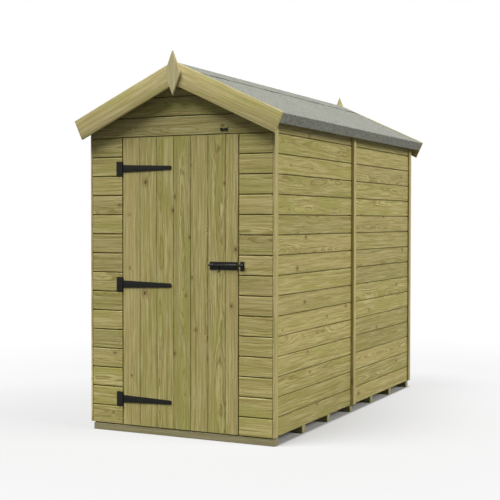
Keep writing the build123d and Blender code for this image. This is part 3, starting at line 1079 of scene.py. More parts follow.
@dataclass(frozen=True)
class ShiplapBoard:
    """A cladding board whose foot hangs over the rebate of the board below."""

    rebate: float = 0.0062
    inset: float = 0.007
    shoulder: float = 0.0058
    foot_ease: float = 0.0009
    # Where the rebate gets painted shade and stain
    dark_below: float = 0.0068
    dark_from: float = 0.004
    dark_to: float = 0.0075

    def plane(self, name: str, length: float, height: float, rebated: bool) -> Piece:
        """Planes one board, lying along X with its face towards the front.

        Args:
            name: the board's name.
            length: its length.
            height: the height of its row.
            rebated: whether its top is rebated under the next board.

        Returns:
            The board, from the origin along X, Y and Z.
        """
        top = height - self.rebate if rebated else height
        board = sawn_block(name, (0.0, 0.0, 0.0), (length, CLADDING, top))
        with editing(board):
            if rebated:
                slice_through((0.0, self.inset, 0.0), (0.0, 1.0, 0.0))
                choose_faces(board, lambda middle, normal: normal.z > 0.9 and middle.y > self.inset)
                pull_out((0.0, 0.0, self.rebate))
                choose_edges(board, lambda a, b: max(a.y, b.y) < HAIR and min(a.z, b.z) > top - HAIR)
                round_off(self.shoulder, 4)
            choose_edges(board, lambda a, b: max(a.y, b.y, a.z, b.z) < HAIR)
            round_off(self.foot_ease, 1)
        return board

    def joint_shade_and_stain(self, height: float) -> Shade:
        """Tells how much painted shade and stain a board's rebate gets, where the board above shades it.

        Args:
            height: the height of the board's row.

        Returns:
            A function that gives the painted shade and stain at each of a board's points.
        """
        def shade(points: np.ndarray) -> np.ndarray:
            """Painted shade and stain on the rebate's back and foot, clear on the board's face and back."""
            behind = (points[:, 1] > self.dark_from) & (points[:, 1] < self.dark_to)
            return (behind & (points[:, 2] > height - self.dark_below)).astype(np.float32)
        return shade


@dataclass(frozen=True)
class VeeBoard:
    """An upright board with eased face edges and a tongue that closes its joints."""

    gap: float = 0.0009
    tongue: float = 0.006
    ease: float = 0.0028
    fullness: float = 0.42
    # Where the joint gets painted shade and stain
    dark_reach: float = 0.0012
    dark_from: float = 0.0005
    dark_to: float = 0.0065

    def plane(self, name: str, width: float, length: float, thickness: float = CLADDING) -> Piece:
        """Planes one board.

        Args:
            name: the board's name.
            width: its width along X.
            length: its length along Z.
            thickness: its thickness along Y, with its face at zero.

        Returns:
            The board, from the origin.
        """
        board = sawn_block(name, (0.0, 0.0, 0.0), (width, thickness, length))
        face_part = self.tongue - 10 * HAIR
        with editing(board):
            slice_through((0.0, self.tongue, 0.0), (0.0, 1.0, 0.0))
            for edge, step in ((0.0, self.gap), (width, -self.gap)):
                choose_points(board, lambda point: abs(point.x - edge) < HAIR and point.y < face_part)
                bpy.ops.transform.translate(value=(step, 0.0, 0.0))
            choose_edges(board, lambda a, b: max(a.y, b.y) < HAIR and abs(a.x - b.x) < HAIR)
            round_off(self.ease, 3, self.fullness)
        return board

    def joint_shade_and_stain(self, width: float) -> Shade:
        """Tells how much painted shade and stain a board's joints get.

        Args:
            width: the board's width.

        Returns:
            A function that gives the painted shade and stain at each of a board's points.
        """
        def shade(points: np.ndarray) -> np.ndarray:
            """Painted shade and stain, darker towards the foot of the joint."""
            from_edge = np.minimum(points[:, 0], width - points[:, 0])
            deep = (points[:, 1] > self.dark_from) & (points[:, 1] < self.dark_to)
            return (deep & (from_edge < self.dark_reach)).astype(np.float32)
        return shade


@dataclass
class SubAssembly:
    """A part of the shed that is made from the shared stock."""

    stock: Stock

    def frame_up(self, piece: Piece, body: str, *nodes: str) -> None:
        """Hands over a piece of sawn frame timber."""
        hand_over(piece, body, "frame_timber", self.stock.framing, *nodes)

    def nail_down(self, name: str, spots: Spots, seed: Seed, body: str = "shed") -> None:
        """Nails a sub-assembly at every spot.

        Args:
            name: the nails' name.
            spots: the place and the facing of each nail.
            seed: the start of their chance turns.
            body: the body they move with.
        """
        nails = drive(self.stock.nail, name, spots, dice_for(seed))
        hand_over(nails, body, "ironwork", self.stock.zinc)


@dataclass
class CladWall(SubAssembly):
    """Rows of shiplap boards that stand for one cladding node."""

    node: str
    side: Side
    span: tuple[float, float]
    joints: Sequence[float]
    nailed: Sequence[float]
    under_roof: bool = False
    # Board lightness; the front gable's lower value and the darker rows near each gable's peak are painted
    # shade under the bargeboards
    tint: float = 0.0
    peak_painted_shade: float = -3.5
    peak_from: float = DOOR_HEAD + 2.5 * PITCH
    slack: float = 0.0006
    lean: float = 0.0004
    face_depth: float = 0.003
    nail_above_foot: float = 0.030
    nail_below_top: float = 0.026
    narrow_row: float = 0.075
    narrow_drop: float = 0.002
    roof_margin: float = 0.02
    board: ShiplapBoard = ShiplapBoard()

    @property
    def outer(self) -> float:
        """How far the wall's face is from the middle of the shed."""
        return WALL_FRONT if self.side in (Side.FRONT, Side.BACK) else WALL_SIDE

    def rows(self) -> list[tuple[float, float]]:
        """Bottom and top of each row."""
        return list(zip(self.joints, self.joints[1:]))

    def lay_row(self, low: float, high: float, patterns: dict, dice: random.Random) -> Piece:
        """Lays one board in its row.

        Args:
            low: the row's bottom.
            high: the row's top.
            patterns: boards already planed, by height.
            dice: gives each board its own small differences.

        Returns:
            The board in the wall's own frame, face at zero.
        """
        start, end = self.span
        height = round(high - low, 5)
        last = high == self.joints[-1] and self.side in (Side.LEFT, Side.RIGHT)
        if height not in patterns:
            patterns[height] = self.board.plane(f"{self.node}_pattern", end - start, height, not last)
        board = copy_piece(patterns[height], f"{self.node}_row")
        # Painted shade: rows near a gable's peak, and the whole front gable, are darkened as if shaded by the
        # bargeboards
        tint = self.peak_painted_shade if self.under_roof and low > self.peak_from else self.tint
        mark_grain(board, dice, FLAT_BOARD, self.board.joint_shade_and_stain(height), tint)
        points = corners(board)
        points[:, 1] += dice.uniform(0.0, self.slack)
        lean = dice.uniform(-self.lean, self.lean)
        front = points[:, 1] < self.face_depth
        points[front, 1] += (lean + abs(lean)) * 0.5 + lean * (points[front, 2] / height - 0.5)
        points[:, 1] = np.maximum(points[:, 1], 0.0)
        points += np.array([start, 0.0, low], np.float32)
        set_corners(board, points)
        if self.under_roof and high > under_roof(end) - SEAT:
            self.cut_to_roof(board)
        return board

    def cut_to_roof(self, board: Piece) -> None:
        """Cuts a gable board under both slopes of the roof.

        Args:
            board: the board, in the wall's own frame.
        """
        peak = under_roof(0.0) - SEAT
        for turn in (-1.0, 1.0):
            with editing(board, "FACE"):
                slice_through((0.0, 0.0, peak), (turn * SIN, 0.0, COS), use_fill=True, clear_outer=True)

    def nail_spots(self) -> Spots:
        """Places two nails in each board over each post, and one in a narrow board.

        Returns:
            The place and the facing of each nail.
        """
        spots = []
        for low, high in self.rows():
            heights = (low + self.nail_above_foot, high - self.nail_below_top)
            if high - low <= self.narrow_row:
                heights = ((low + high) / 2 - self.narrow_drop,)
            for across in self.nailed:
                ceiling = under_roof(across) - self.roof_margin
                spots += [(Vector((across, 0.0, height)), FACING_FRONT) for height in heights
                          if not self.under_roof or height < ceiling]
        return spots

    def stand(self, piece: Piece) -> Piece:
        """Turns a piece made at the origin into this wall's place.

        Args:
            piece: the piece, with its face to the front.

        Returns:
            The same piece.
        """
        turn = math.radians(self.side.value)
        move = (self.outer * math.sin(turn), -self.outer * math.cos(turn), 0.0)
        return place(piece, move, (0.0, 0.0, self.side.value))

    def build(self, dice: random.Random) -> None:
        """Lays every row, joins them, stands the wall in its place and nails it.

        Args:
            dice: gives the boards and nails their own small differences.
        """
        patterns: dict = {}
        boards = [self.lay_row(low, high, patterns, dice) for low, high in self.rows()]
        throw_away(*patterns.values())
        wall = self.stand(join_up(boards, f"{self.node}_boards"))
        hand_over(wall, "shed", "cladding", self.stock.cladding, self.node)
        nails = self.stand(drive(self.stock.nail, f"{self.node}_nails", self.nail_spots(), dice))
        hand_over(nails, "shed", "ironwork", self.stock.zinc)


@dataclass
class Cladding(SubAssembly):
    """All the walls' boards, row by row."""

    side_top: float = field(default_factory=lambda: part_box("right_wall_front")[1].z)
    gable_top: float = field(default_factory=lambda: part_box("front_gable")[1].z)
    past_gable: float = 0.004
    half: float = 0.585
    opening: float = 0.381
    corner_post: float = 0.554
    door_post: float = 0.403
    front_posts: tuple[float, ...] = (-1.156, -0.589, -0.026)
    rear_posts: tuple[float, ...] = (0.034, 0.592, 1.156)
    low_count: int = 15
    # The front gable's boards, darkened as painted shade under the bargeboards
    gable_painted_shade: float = -1.2

    def low_rows(self) -> list[float]:
        """Heights of the joints from the bottom to the door's head."""
        return [CLADDING_BOTTOM] + [FIRST_JOINT + PITCH * row for row in range(self.low_count)]

    def gable_rows(self) -> list[float]:
        """Heights of the joints from the door's head to the ridge."""
        return [DOOR_HEAD + PITCH * row for row in range(4)] + [self.gable_top + self.past_gable]

    def end_walls(self) -> list[CladWall]:
        """Lists the front's two sides, its gable and the back.

        Returns:
            The walls, not yet built.
        """
        low, high = self.low_rows(), self.gable_rows()
        corner, jamb, whole = self.corner_post, self.door_post, (-self.half, self.half)
        beside_left, beside_right = (-self.half, -self.opening), (self.opening, self.half)
        return [
            CladWall(self.stock, "front_wall_left", Side.FRONT, beside_left, low, (-corner, -jamb)),
            CladWall(self.stock, "front_wall_right", Side.FRONT, beside_right, low, (jamb, corner)),
            CladWall(self.stock, "front_gable", Side.FRONT, whole, high, (-corner, -jamb, 0.0, jamb, corner),
                     under_roof=True, tint=self.gable_painted_shade),
            CladWall(self.stock, "rear_wall", Side.BACK, whole, low + high[1:], (-corner, 0.0, corner),
                     under_roof=True),
        ]

    def side_walls(self) -> list[CladWall]:
        """Lists the two panels of each side.

        Returns:
            The walls, not yet built.
        """
        joints = self.low_rows()[:-1] + [DOOR_HEAD, self.side_top]
        walls = []
        for side in (Side.RIGHT, Side.LEFT):
            for end, posts in (("front", self.front_posts), ("rear", self.rear_posts)):
                node = f"{side.name.lower()}_wall_{end}"
                span = (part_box(node)[0].y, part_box(node)[1].y)
                if side is Side.LEFT:
                    span, posts = (-span[1], -span[0]), [-post for post in posts]
                walls.append(CladWall(self.stock, node, side, span, joints, posts))
        return walls

    def build(self) -> None:
        """Builds the front, the gables, the back and both sides."""
        for number, wall in enumerate(self.end_walls() + self.side_walls()):
            wall.build(dice_for(Seed.WALLS, number))


@dataclass
class DoorLeaf(SubAssembly):
    """Seven upright boards with ledges and braces behind them."""

    edges: tuple[float, ...] = (-0.376, -0.2608, -0.1473, -0.0356, 0.0743, 0.1851, 0.2948, 0.376)
    bottom: float = CLADDING_BOTTOM
    top: float = 1.717
    board_slack: float = 0.0005
    half_ledge: float = 0.350
    ledge: float = 0.095
    ledge_ease: float = 0.0025
    brace: float = 0.100
    brace_inset: float = 0.010
    brace_ease: float = 0.0022
    thickness: float = 0.020
    back: float = -1.208
    nail_inset: float = 0.022
    nail_rise: float = 0.034

    def boards(self) -> None:
        """Stands the boards side by side."""
        dice = dice_for(Seed.DOOR_BOARDS)
        leaf = []
        vee = VeeBoard()
        for left, right in zip(self.edges, self.edges[1:]):
            board = vee.plane("door_board", right - left, self.top - self.bottom)
            mark_grain(board, dice, UPRIGHT_BOARD, vee.joint_shade_and_stain(right - left))
            shift(board, (left, -WALL_FRONT + dice.uniform(0.0, self.board_slack), self.bottom))
            leaf.append(board)
        hand_over(join_up(leaf, "door_leaf"), "door", "cladding", self.stock.cladding, "door_boards")

    def ledges(self) -> None:
        """Lays a ledge behind each hinge."""
        dice = dice_for(Seed.LEDGES)
        first = sawn_block("door_ledge", (-self.half_ledge, self.back, -self.ledge / 2),
                           (self.half_ledge, self.back + self.thickness, self.ledge / 2))
        ease_edges(first, self.ledge_ease)
        pieces = copies_along(first, [(0.0, 0.0, height) for height in HINGE_HEIGHTS], dice)
        self.frame_up(join_up(pieces, "ledges"), "door", "door_ledges")

    def braces(self) -> None:
        """Sets a brace between each pair of ledges, rising from the hinge side."""
        dice = dice_for(Seed.BRACES)
        low = HINGE_HEIGHTS[0] + self.ledge / 2
        high = HINGE_HEIGHTS[1] - self.ledge / 2
        half = self.half_ledge - self.brace_inset
        first = sawn_block("brace", (-half, self.back, low),
                           (self.brace - half, self.back + self.thickness, high))
        with editing(first, "VERT"):
            choose_points(first, lambda point: point.z > high - HAIR)
            bpy.ops.transform.translate(value=(2 * half - self.brace, 0.0, 0.0))
        ease_edges(first, self.brace_ease)
        second = copy_piece(first, "brace_upper")
        shift(second, (0.0, 0.0, HINGE_HEIGHTS[1] - HINGE_HEIGHTS[0]))
        for piece in (first, second):
            mark_grain(piece, dice)
        self.frame_up(join_up([first, second], "braces"), "door", "door_braces")

    def nails(self) -> None:
        """Nails every board to the ledges, above and below the hinges' straps."""
        spots = []
        for left, right in zip(self.edges, self.edges[1:]):
            for across in (left + self.nail_inset, right - self.nail_inset):
                for height in HINGE_HEIGHTS:
                    for rise in (-self.nail_rise, self.nail_rise):
                        spots.append((Vector((across, -WALL_FRONT, height + rise)), FACING_FRONT))
        self.nail_down("door_nails", spots, Seed.DOOR_NAILS, "door")

    def build(self) -> None:
        """Builds the whole leaf."""
        self.boards()
        self.ledges()
        self.braces()
        self.nails()


@dataclass
class Floor(SubAssembly):
    """Joists across the shed and the deck boards over them."""

    sill_low: float = -0.582
    sill_high: float = 0.598
    sill_front: float = -1.2165
    sill_step: float = -1.203
    sill_rebate: float = 0.0055
    sill_ease: float = 0.0025
    sill_lighter: float = -2.0
    joist_half: float = 0.587
    joist_width: float = 0.047
    joist_height: float = 0.045
    joist_ease: float = 0.003
    first: float = -1.1985
    count: int = 7
    deck_half: float = 0.571
    deck_long: float = 1.203
    deck_top: float = 0.057
    deck_boards: int = 10
    nail_side: float = 0.035
    sill_nail_step: float = 0.010

    def pitch(self) -> float:
        """Distance from one joist to the next."""
        return (-2 * self.first - self.joist_width) / (self.count - 1)

    def deck_width(self) -> float:
        """Width of one deck board."""
        return 2 * self.deck_half / self.deck_boards

    def sill(self, dice: random.Random) -> Piece:
        """Saws the front joist, with a step along its front that clears the door.

        Args:
            dice: gives the joist its place in the log.

        Returns:
            The joist in its place.
        """
        back = self.sill_front + self.joist_width
        sill = sawn_block("sill", (self.sill_low, self.sill_step, 0.0),
                          (self.sill_high, back, self.joist_height))
        with editing(sill, "FACE"):
            slice_through((0.0, 0.0, self.joist_height - self.sill_rebate), (0.0, 0.0, 1.0))
            choose_faces(sill, lambda middle, normal: normal.y < -0.9 and middle.z < self.joist_height / 2)
            pull_out((0.0, self.sill_front - self.sill_step, 0.0))
            choose_edges(sill, lambda a, b: max(a.y, b.y) < self.sill_step - 1e-4)
            round_off(self.sill_ease, 3)
        mark_grain(sill, dice, JOIST, lighter=self.sill_lighter)
        return sill

    def joists(self) -> None:
        """Saws one joist, rounds its edges and copies it along the shed, behind the front one."""
        dice = dice_for(Seed.JOISTS)
        first = sawn_block("joist", (-self.joist_half, 0.0, 0.0),
                           (self.joist_half, self.joist_width, self.joist_height))
        ease_edges(first, self.joist_ease, 3)
        moves = [(0.0, self.first + number * self.pitch(), 0.0) for number in range(1, self.count)]
        pieces = [self.sill(dice)] + copies_along(first, moves, dice, JOIST)
        self.frame_up(join_up(pieces, "joists"), "shed", "floor_joists")

    def deck(self) -> None:
        """Lays the deck boards from the front to the back."""
        dice = dice_for(Seed.DECK)
        vee = VeeBoard()
        width = self.deck_width()
        pattern = vee.plane("deck_board", width, 2 * self.deck_long)
        moves = [(number * width - self.deck_half, 0.0, -self.deck_long)
                 for number in range(self.deck_boards)]
        pieces = copies_along(pattern, moves, dice, UPRIGHT_BOARD, vee.joint_shade_and_stain(width))
        deck = place(join_up(pieces, "deck"), (0.0, 0.0, self.deck_top), (-90.0, 0.0, 0.0))
        self.frame_up(deck, "shed", "floor_deck")

    def nails(self) -> None:
        """Nails the deck boards down to every joist."""
        spots = []
        for row in range(self.count):
            deep = self.first + row * self.pitch() + self.joist_width / 2
            if row == 0:
                deep -= self.sill_nail_step
            for number in range(self.deck_boards):
                middle = (number + 0.5) * self.deck_width() - self.deck_half
                spots += [(Vector((middle + side, deep, self.deck_top)), FACING_UP)
                          for side in (-self.nail_side, self.nail_side)]
        self.nail_down("deck_nails", spots, Seed.DECK_NAILS)

    def build(self) -> None:
        """Builds the joists and the deck."""
        self.joists()
        self.deck()
        self.nails()


@dataclass
class Trim(SubAssembly):
    """Cover strips on the sides, bargeboards and finials on the gables."""

    stems: tuple[str, ...] = ("corner_strip_front", "joint_strip", "corner_strip_rear")
    strip_ease: float = 0.003
    strip_lighter: tuple[float, ...] = (0.0, 0.8, 0.8)
    strip_nails: int = 6
    strip_nail_low: float = 0.12
    strip_nail_pitch: float = 0.325
    barge_start: float = -0.08
    barge_run: float = field(default_factory=lambda: ROOF_RUN + 0.003 + 0.002)
    barge_proud: float = 0.008
    barge_deep: float = 0.120
    barge_thick: float = 0.015
    barge_ease: float = 0.0022
    barge_lighter: tuple[tuple[str, float], ...] = (("right", 2.2), ("left", 0.6))
    barge_nail_runs: tuple[float, ...] = (0.14, 0.32, 0.50, 0.67)
    barge_nail_rise: float = 0.034
    finial_half: float = 0.049
    finial_tall: float = 0.250
    finial_rise: float = 0.066
    finial_ease: float = 0.0016
    finial_lighter: float = 3.0
    finial_nail_rises: tuple[float, ...] = (-0.045, 0.035)
    finial_nail_sunk: float = 0.0004

    def finial_middle(self) -> float:
        """Height of a finial's middle."""
        return RIDGE + self.finial_rise - self.finial_tall / 2

    def strip(self, node: str) -> Piece:
        """Planes a strip with round outer edges, for the right side.

        Args:
            node: the node that it stands for.

        Returns:
            The strip, where its node is.
        """
        low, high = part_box(node)
        strip = sawn_block("strip", low, high)
        with editing(strip):
            choose_edges(strip, lambda a, b: min(a.x, b.x) > high.x - HAIR)
            round_off(self.strip_ease, 3)
        smooth(strip)
        return strip

    def strips(self) -> None:
        """Fixes a strip over each corner and joint, and its mirrored copy on the other side."""
        for number, stem in enumerate(self.stems):
            first = self.strip(f"{stem}_right")
            for side, sign in (("right", 1), ("left", -1)):
                strip = copy_piece(first, f"{stem}_{side}_timber")
                dice = dice_for(Seed.STRIPS, number * 2 + sign)
                mark_grain(strip, dice, SIDE_STRIP, lighter=self.strip_lighter[number])
                place(strip, size=(float(sign), 1.0, 1.0))
                hand_over(strip, "shed", "trim_timber", self.stock.trim, f"{stem}_{side}")
            throw_away(first)

    def bargeboards(self) -> None:
        """Planes one bargeboard, plumb at the ridge, and copies it to the other three edges."""
        first = sawn_block("barge", (self.barge_start, -self.barge_thick, self.barge_proud - self.barge_deep),
                           (self.barge_run, 0.0, self.barge_proud))
        place(first, turn=DOWN_THE_SLOPE)
        with editing(first, "FACE"):
            slice_through((0.0, 0.0, 0.0), (1.0, 0.0, 0.0), use_fill=True, clear_inner=True)
        with editing(first):
            choose_edges(first, lambda a, b: max(a.x, b.x) > 100 * HAIR
                         and max(a.y, b.y) < HAIR - self.barge_thick / 2)
            round_off(self.barge_ease)
        smooth(first)
        lighter = dict(self.barge_lighter)
        for number, (end, side, turn, mirror) in enumerate((
            ("front", "right", 0.0, 1.0), ("front", "left", 0.0, -1.0),
            ("rear", "left", 180.0, 1.0), ("rear", "right", 180.0, -1.0),
        )):
            board = copy_piece(first, f"bargeboard_{end}_{side}_timber")
            dice = dice_for(Seed.BARGEBOARDS, number)
            mark_grain(board, dice, SLOPING_BOARD, lighter=lighter[side], rift=True)
            face = -ROOF_HALF if end == "front" else ROOF_HALF
            place(board, (0.0, face, RIDGE), (0.0, 0.0, turn), (mirror, 1.0, 1.0))
            hand_over(board, "shed", "trim_timber", self.stock.trim, f"bargeboard_{end}_{side}")
        throw_away(first)

    def finials(self) -> None:
        """Cuts a diamond of board for each gable."""
        put_down()
        bpy.ops.mesh.primitive_cylinder_add(vertices=4, radius=1.0, depth=1.0)
        first = bpy.context.object
        place(first, turn=(90.0, 0.0, 0.0))
        place(first, size=(self.finial_half, self.barge_thick, self.finial_tall / 2))
        ease_edges(first, self.finial_ease)
        for number, (end, sign) in enumerate((("front", -1.0), ("rear", 1.0))):
            finial = copy_piece(first, f"finial_{end}_timber")
            dice = dice_for(Seed.FINIALS, number)
            mark_grain(finial, dice, UPRIGHT_BOARD, lighter=self.finial_lighter, rift=True)
            place(finial, (0.0, sign * (ROOF_HALF + 1.5 * self.barge_thick), self.finial_middle()))
            hand_over(finial, "shed", "trim_timber", self.stock.finial, f"finial_{end}")
        throw_away(first)

    def nails(self) -> None:
        """Nails the strips every third row, and the bargeboards and finials in pairs."""
        spots = []
        for stem in self.stems:
            low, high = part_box(f"{stem}_right")
            for sign in (1.0, -1.0):
                for row in range(self.strip_nails):
                    height = self.strip_nail_low + row * self.strip_nail_pitch
                    spot = Vector((sign * high.x, (low.y + high.y) / 2, height))
                    spots.append((spot, Vector((sign, 0.0, 0.0))))
        middle = self.barge_proud - self.barge_deep / 2
        for end in (-1.0, 1.0):
            facing = Vector((0.0, end, 0.0))
            face = end * (ROOF_HALF + self.barge_thick)
            for side in (-1.0, 1.0):
                for run in self.barge_nail_runs:
                    for rise in (middle - self.barge_nail_rise, middle + self.barge_nail_rise):
                        spots.append((on_slope(side, run, rise, face), facing))
            outer = face + end * (self.barge_thick - self.finial_nail_sunk)
            for rise in self.finial_nail_rises:
                spots.append((Vector((0.0, outer, self.finial_middle() + rise)), facing))
        self.nail_down("trim_nails", spots, Seed.TRIM_NAILS)

    def build(self) -> None:
        """Builds the strips, the bargeboards and the finials."""
        self.strips()
        self.bargeboards()
        self.finials()
        self.nails()


@dataclass
class Roof(SubAssembly):
    """Roof boards, the felt of each slope and the strip of felt over the ridge."""

    felt: float = 0.003
    fold: float = 0.058
    fold_round: float = 0.005
    sag: float = 0.0005
    cap_run: float = 0.162
    cap_round: float = 0.010
    cap_lift: float = 0.0008
    board_width: float = PITCH
    half_joint: float = 0.0002
    clout_count: int = 17
    clout_end: float = 0.03
    clout_drop: float = 0.043
    clout_inset: float = 0.016

    def both_slopes(self, right: Piece, stem: str, node: str, slot: str, finish: Material) -> None:
        """Mirrors the right slope's piece and hands both over.

        Args:
            right: the right slope's piece.
            stem: the start of both pieces' names.
            node: the start of both nodes' names.
            slot: the record's material slot.
            finish: their material.
        """
        left = mirror_over(right, f"{stem}_left")
        hand_over(right, "shed", slot, finish, f"{node}_right")
        hand_over(left, "shed", slot, finish, f"{node}_left")

    def boards(self) -> None:
        """Lays boards along one slope, joints seen from below, and mirrors them for the other."""
        dice = dice_for(Seed.ROOF_BOARDS)
        vee = VeeBoard()
        pieces = []
        run = 0.0
        while run < ROOF_RUN - 0.001:
            width = min(self.board_width, ROOF_RUN - run)
            board = vee.plane("roof_board", width, 2 * ROOF_HALF, ROOF_BOARD)
            mark_grain(board, dice, UPRIGHT_BOARD, vee.joint_shade_and_stain(width))
            shift(board, (run, 0.0, -ROOF_HALF))
            pieces.append(board)
            run += width
        right = place(join_up(pieces, "roof_boards_right"), turn=(90.0, 0.0, 0.0))
        place(right, (-ROOF_BOARD * SIN, 0.0, RIDGE - ROOF_BOARD * COS), DOWN_THE_SLOPE)
        with editing(right, "FACE"):
            slice_through((self.half_joint, 0.0, 0.0), (1.0, 0.0, 0.0), use_fill=True, clear_inner=True)
        self.both_slopes(right, "roof_boards", "roof_panel", "frame_timber", self.stock.framing)

    def sheet(self, name: str, columns: int, size: Sequence[float], at: Sequence[float]) -> Piece:
        """Cuts a flat sheet of felt without thickness.

        Args:
            name: the sheet's name.
            columns: how many faces it has across.
            size: its width and length.
            at: its middle.

        Returns:
            The sheet.
        """
        put_down()
        bpy.ops.mesh.primitive_grid_add(x_subdivisions=columns, y_subdivisions=52, size=1.0, location=at)
        sheet = bpy.context.object
        sheet.name = name
        sheet.scale = (*size, 1.0)
        settle(sheet)
        return sheet

    def thicken(self, sheet: Piece) -> None:
        """Gives a sheet the felt's thickness and shades it."""
        finish_with(sheet, "SOLIDIFY", thickness=self.felt, offset=-1.0)
        smooth(sheet, 50.0)

    def slopes(self) -> None:
        """Lays a sheet of felt on one slope, folds it over the eaves and mirrors it."""
        reach = ROOF_RUN + self.felt
        felt = self.sheet("felt_right", 16, (reach, 2 * ROOF_HALF), (reach / 2, 0.0, self.felt))
        points = corners(felt)
        along = np.sin(points[:, 1] * 9.0 + points[:, 0] * 5.0)
        points[:, 2] += self.sag + self.sag * along * np.sin(points[:, 0] * 8.0)
        set_corners(felt, points)
        with editing(felt):
            choose_edges(felt, lambda a, b: min(a.x, b.x) > reach - HAIR)
            pull_out((0.0, 0.0, -self.fold))
            choose_edges(felt, lambda a, b: min(a.x, b.x) > reach - HAIR and min(a.z, b.z) > 0.0)
            round_off(self.fold_round, 4)
        self.thicken(felt)
        place(felt, (0.0, 0.0, RIDGE), DOWN_THE_SLOPE)
        self.both_slopes(felt, "felt", "roof_felt", "felt", self.stock.felt)

    def ridge(self) -> None:
        """Bends a strip of felt over the ridge."""
        cap = self.sheet("ridge_cap", 8, (2 * self.cap_run, 2 * ROOF_HALF), (0.0, 0.0, 0.0))
        with editing(cap, "VERT"):
            for sign in (1.0, -1.0):
                choose_points(cap, lambda point: point.x * sign > 1e-4)
                bpy.ops.transform.rotate(value=-sign * SLOPE, orient_axis="Y",
                                         center_override=(0.0, 0.0, 0.0))
            choose_edges(cap, lambda a, b: max(abs(a.x), abs(b.x)) < 1e-4)
            round_off(self.cap_round, 4)
        points = corners(cap)
        outer = np.abs(points[:, 0]) > self.cap_run * COS - 1e-3
        points[outer, 2] += self.cap_lift + self.cap_lift * np.sin(points[outer, 1] * 17.0)
        set_corners(cap, points)
        self.thicken(cap)
        place(cap, (0.0, 0.0, RIDGE + 2 * self.felt / COS))
        hand_over(cap, "shed", "felt", self.stock.felt, "ridge_felt")

    def clouts(self) -> None:
        """Nails the felt down along its folds and both edges of the ridge's strip."""
        spots = []
        for number in range(self.clout_count):
            along = (number / (self.clout_count - 1) - 0.5) * 2 * (ROOF_HALF - self.clout_end)
            for side in (-1.0, 1.0):
                fold = on_slope(side, ROOF_RUN + self.felt, -self.clout_drop, along)
                spots.append((fold, Vector((side * COS, 0.0, -SIN))))
                edge = on_slope(side, self.cap_run - self.clout_inset, 2 * self.felt, along)
                spots.append((edge, Vector((side * SIN, 0.0, COS))))
        clouts = drive(self.stock.clout, "felt_clouts", spots, dice_for(Seed.CLOUTS))
        hand_over(clouts, "shed", "ironwork", self.stock.clout_zinc)

    def build(self) -> None:
        """Builds the boards and the felt."""
        self.boards()
        self.slopes()
        self.ridge()
        self.clouts()


@dataclass
class Framing(SubAssembly):
    """Posts, rails, beams and door stops, eased from the frame's own solids."""

    names: tuple[str, ...] = (
        "front_posts", "front_rails", "rear_posts", "rear_rails", "left_posts", "left_rails",
        "right_posts", "right_rails", "roof_beams", "door_stops",
    )
    ease: float = 0.0018
    seed_step: int = 20

    def ease_timbers(self, node: str, first: int) -> None:
        """Copies a node's timbers, rounds their edges and gives each its own grain.

        Args:
            node: the node whose timbers are eased.
            first: the first number for the timbers' places in their logs.
        """
        with editing(copy_node(node), "FACE"):
            choose_all()
            bpy.ops.mesh.separate(type="LOOSE")
        pieces = sorted(bpy.context.selected_objects, key=lambda piece: tuple(corners(piece).mean(0)))
        for number, piece in enumerate(pieces):
            ease_edges(piece, self.ease)
            mark_grain(piece, dice_for(Seed.FRAMING, first + number))
        self.frame_up(join_up(pieces, f"{node}_eased"), "shed", node)

    def build(self) -> None:
        """Eases every framing node."""
        for number, node in enumerate(self.names):
            self.ease_timbers(node, self.seed_step * number)


@dataclass
class Ironwork(SubAssembly):
    """Hinges, bolt and turn button in black coating, with their screws."""

    bodies: tuple[tuple[str, str], ...] = (
        ("hinge_plates", "shed"), ("hinge_straps", "door"), ("bolt_plate", "door"),
        ("bolt_bar", "bolt"), ("bolt_keeper", "shed"), ("turn_button", "turn_button"),
    )
    ease: float = 0.0006
    sharp: float = 40.0
    shaded: float = 35.0
    hinge_face: float = -1.2230
    bolt_face: float = -1.2225
    strap_screws: tuple[float, ...] = (-0.357, -0.302, -0.238, -0.168, -0.088)
    plate_screws: tuple[tuple[float, float], ...] = (
        (-0.408, 0.031), (-0.394, 0.012), (-0.408, -0.012), (-0.394, -0.031),
    )
    bolt_screws: tuple[tuple[float, float], ...] = (
        (0.2055, 1.0032), (0.2055, 0.9678), (0.262, 1.0032), (0.366, 1.0032), (0.366, 0.9678),
    )
    keeper_screws: tuple[tuple[float, float], ...] = ((0.4005, 1.0045), (0.4005, 0.9665))

    def eased(self, node: str, body: str) -> None:
        """Copies a node's metal, closes its mesh and rounds its sharp edges.

        Args:
            node: the node that is copied.
            body: the body it moves with.
        """
        metal = copy_node(node)
        finish_with(metal, "BEVEL", width=self.ease, segments=2, limit_method="ANGLE",
                    angle_limit=math.radians(self.sharp))
        smooth(metal, self.shaded)
        hand_over(metal, body, "ironwork", self.stock.iron, node)

    def screws(self) -> None:
        """Drives the screws of the door's ironwork and of the wall's."""
        door = [(across, self.hinge_face, height) for height in HINGE_HEIGHTS for across in self.strap_screws]
        door += [(across, self.bolt_face, height) for across, height in self.bolt_screws]
        wall = [(across, self.hinge_face, height + rise)
                for height in HINGE_HEIGHTS for across, rise in self.plate_screws]
        wall += [(across, self.bolt_face, height) for across, height in self.keeper_screws]
        for name, body, places in (("door_screws", "door", door), ("wall_screws", "shed", wall)):
            spots = [(Vector(spot), FACING_FRONT) for spot in places]
            heads = drive(self.stock.screw, name, spots, dice_for(Seed.SCREWS))
            hand_over(heads, body, "ironwork", self.stock.iron)

    def build(self) -> None:
        """Rounds and coats the ironwork, and screws it down."""
        for node, body in self.bodies:
            self.eased(node, body)
        self.screws()


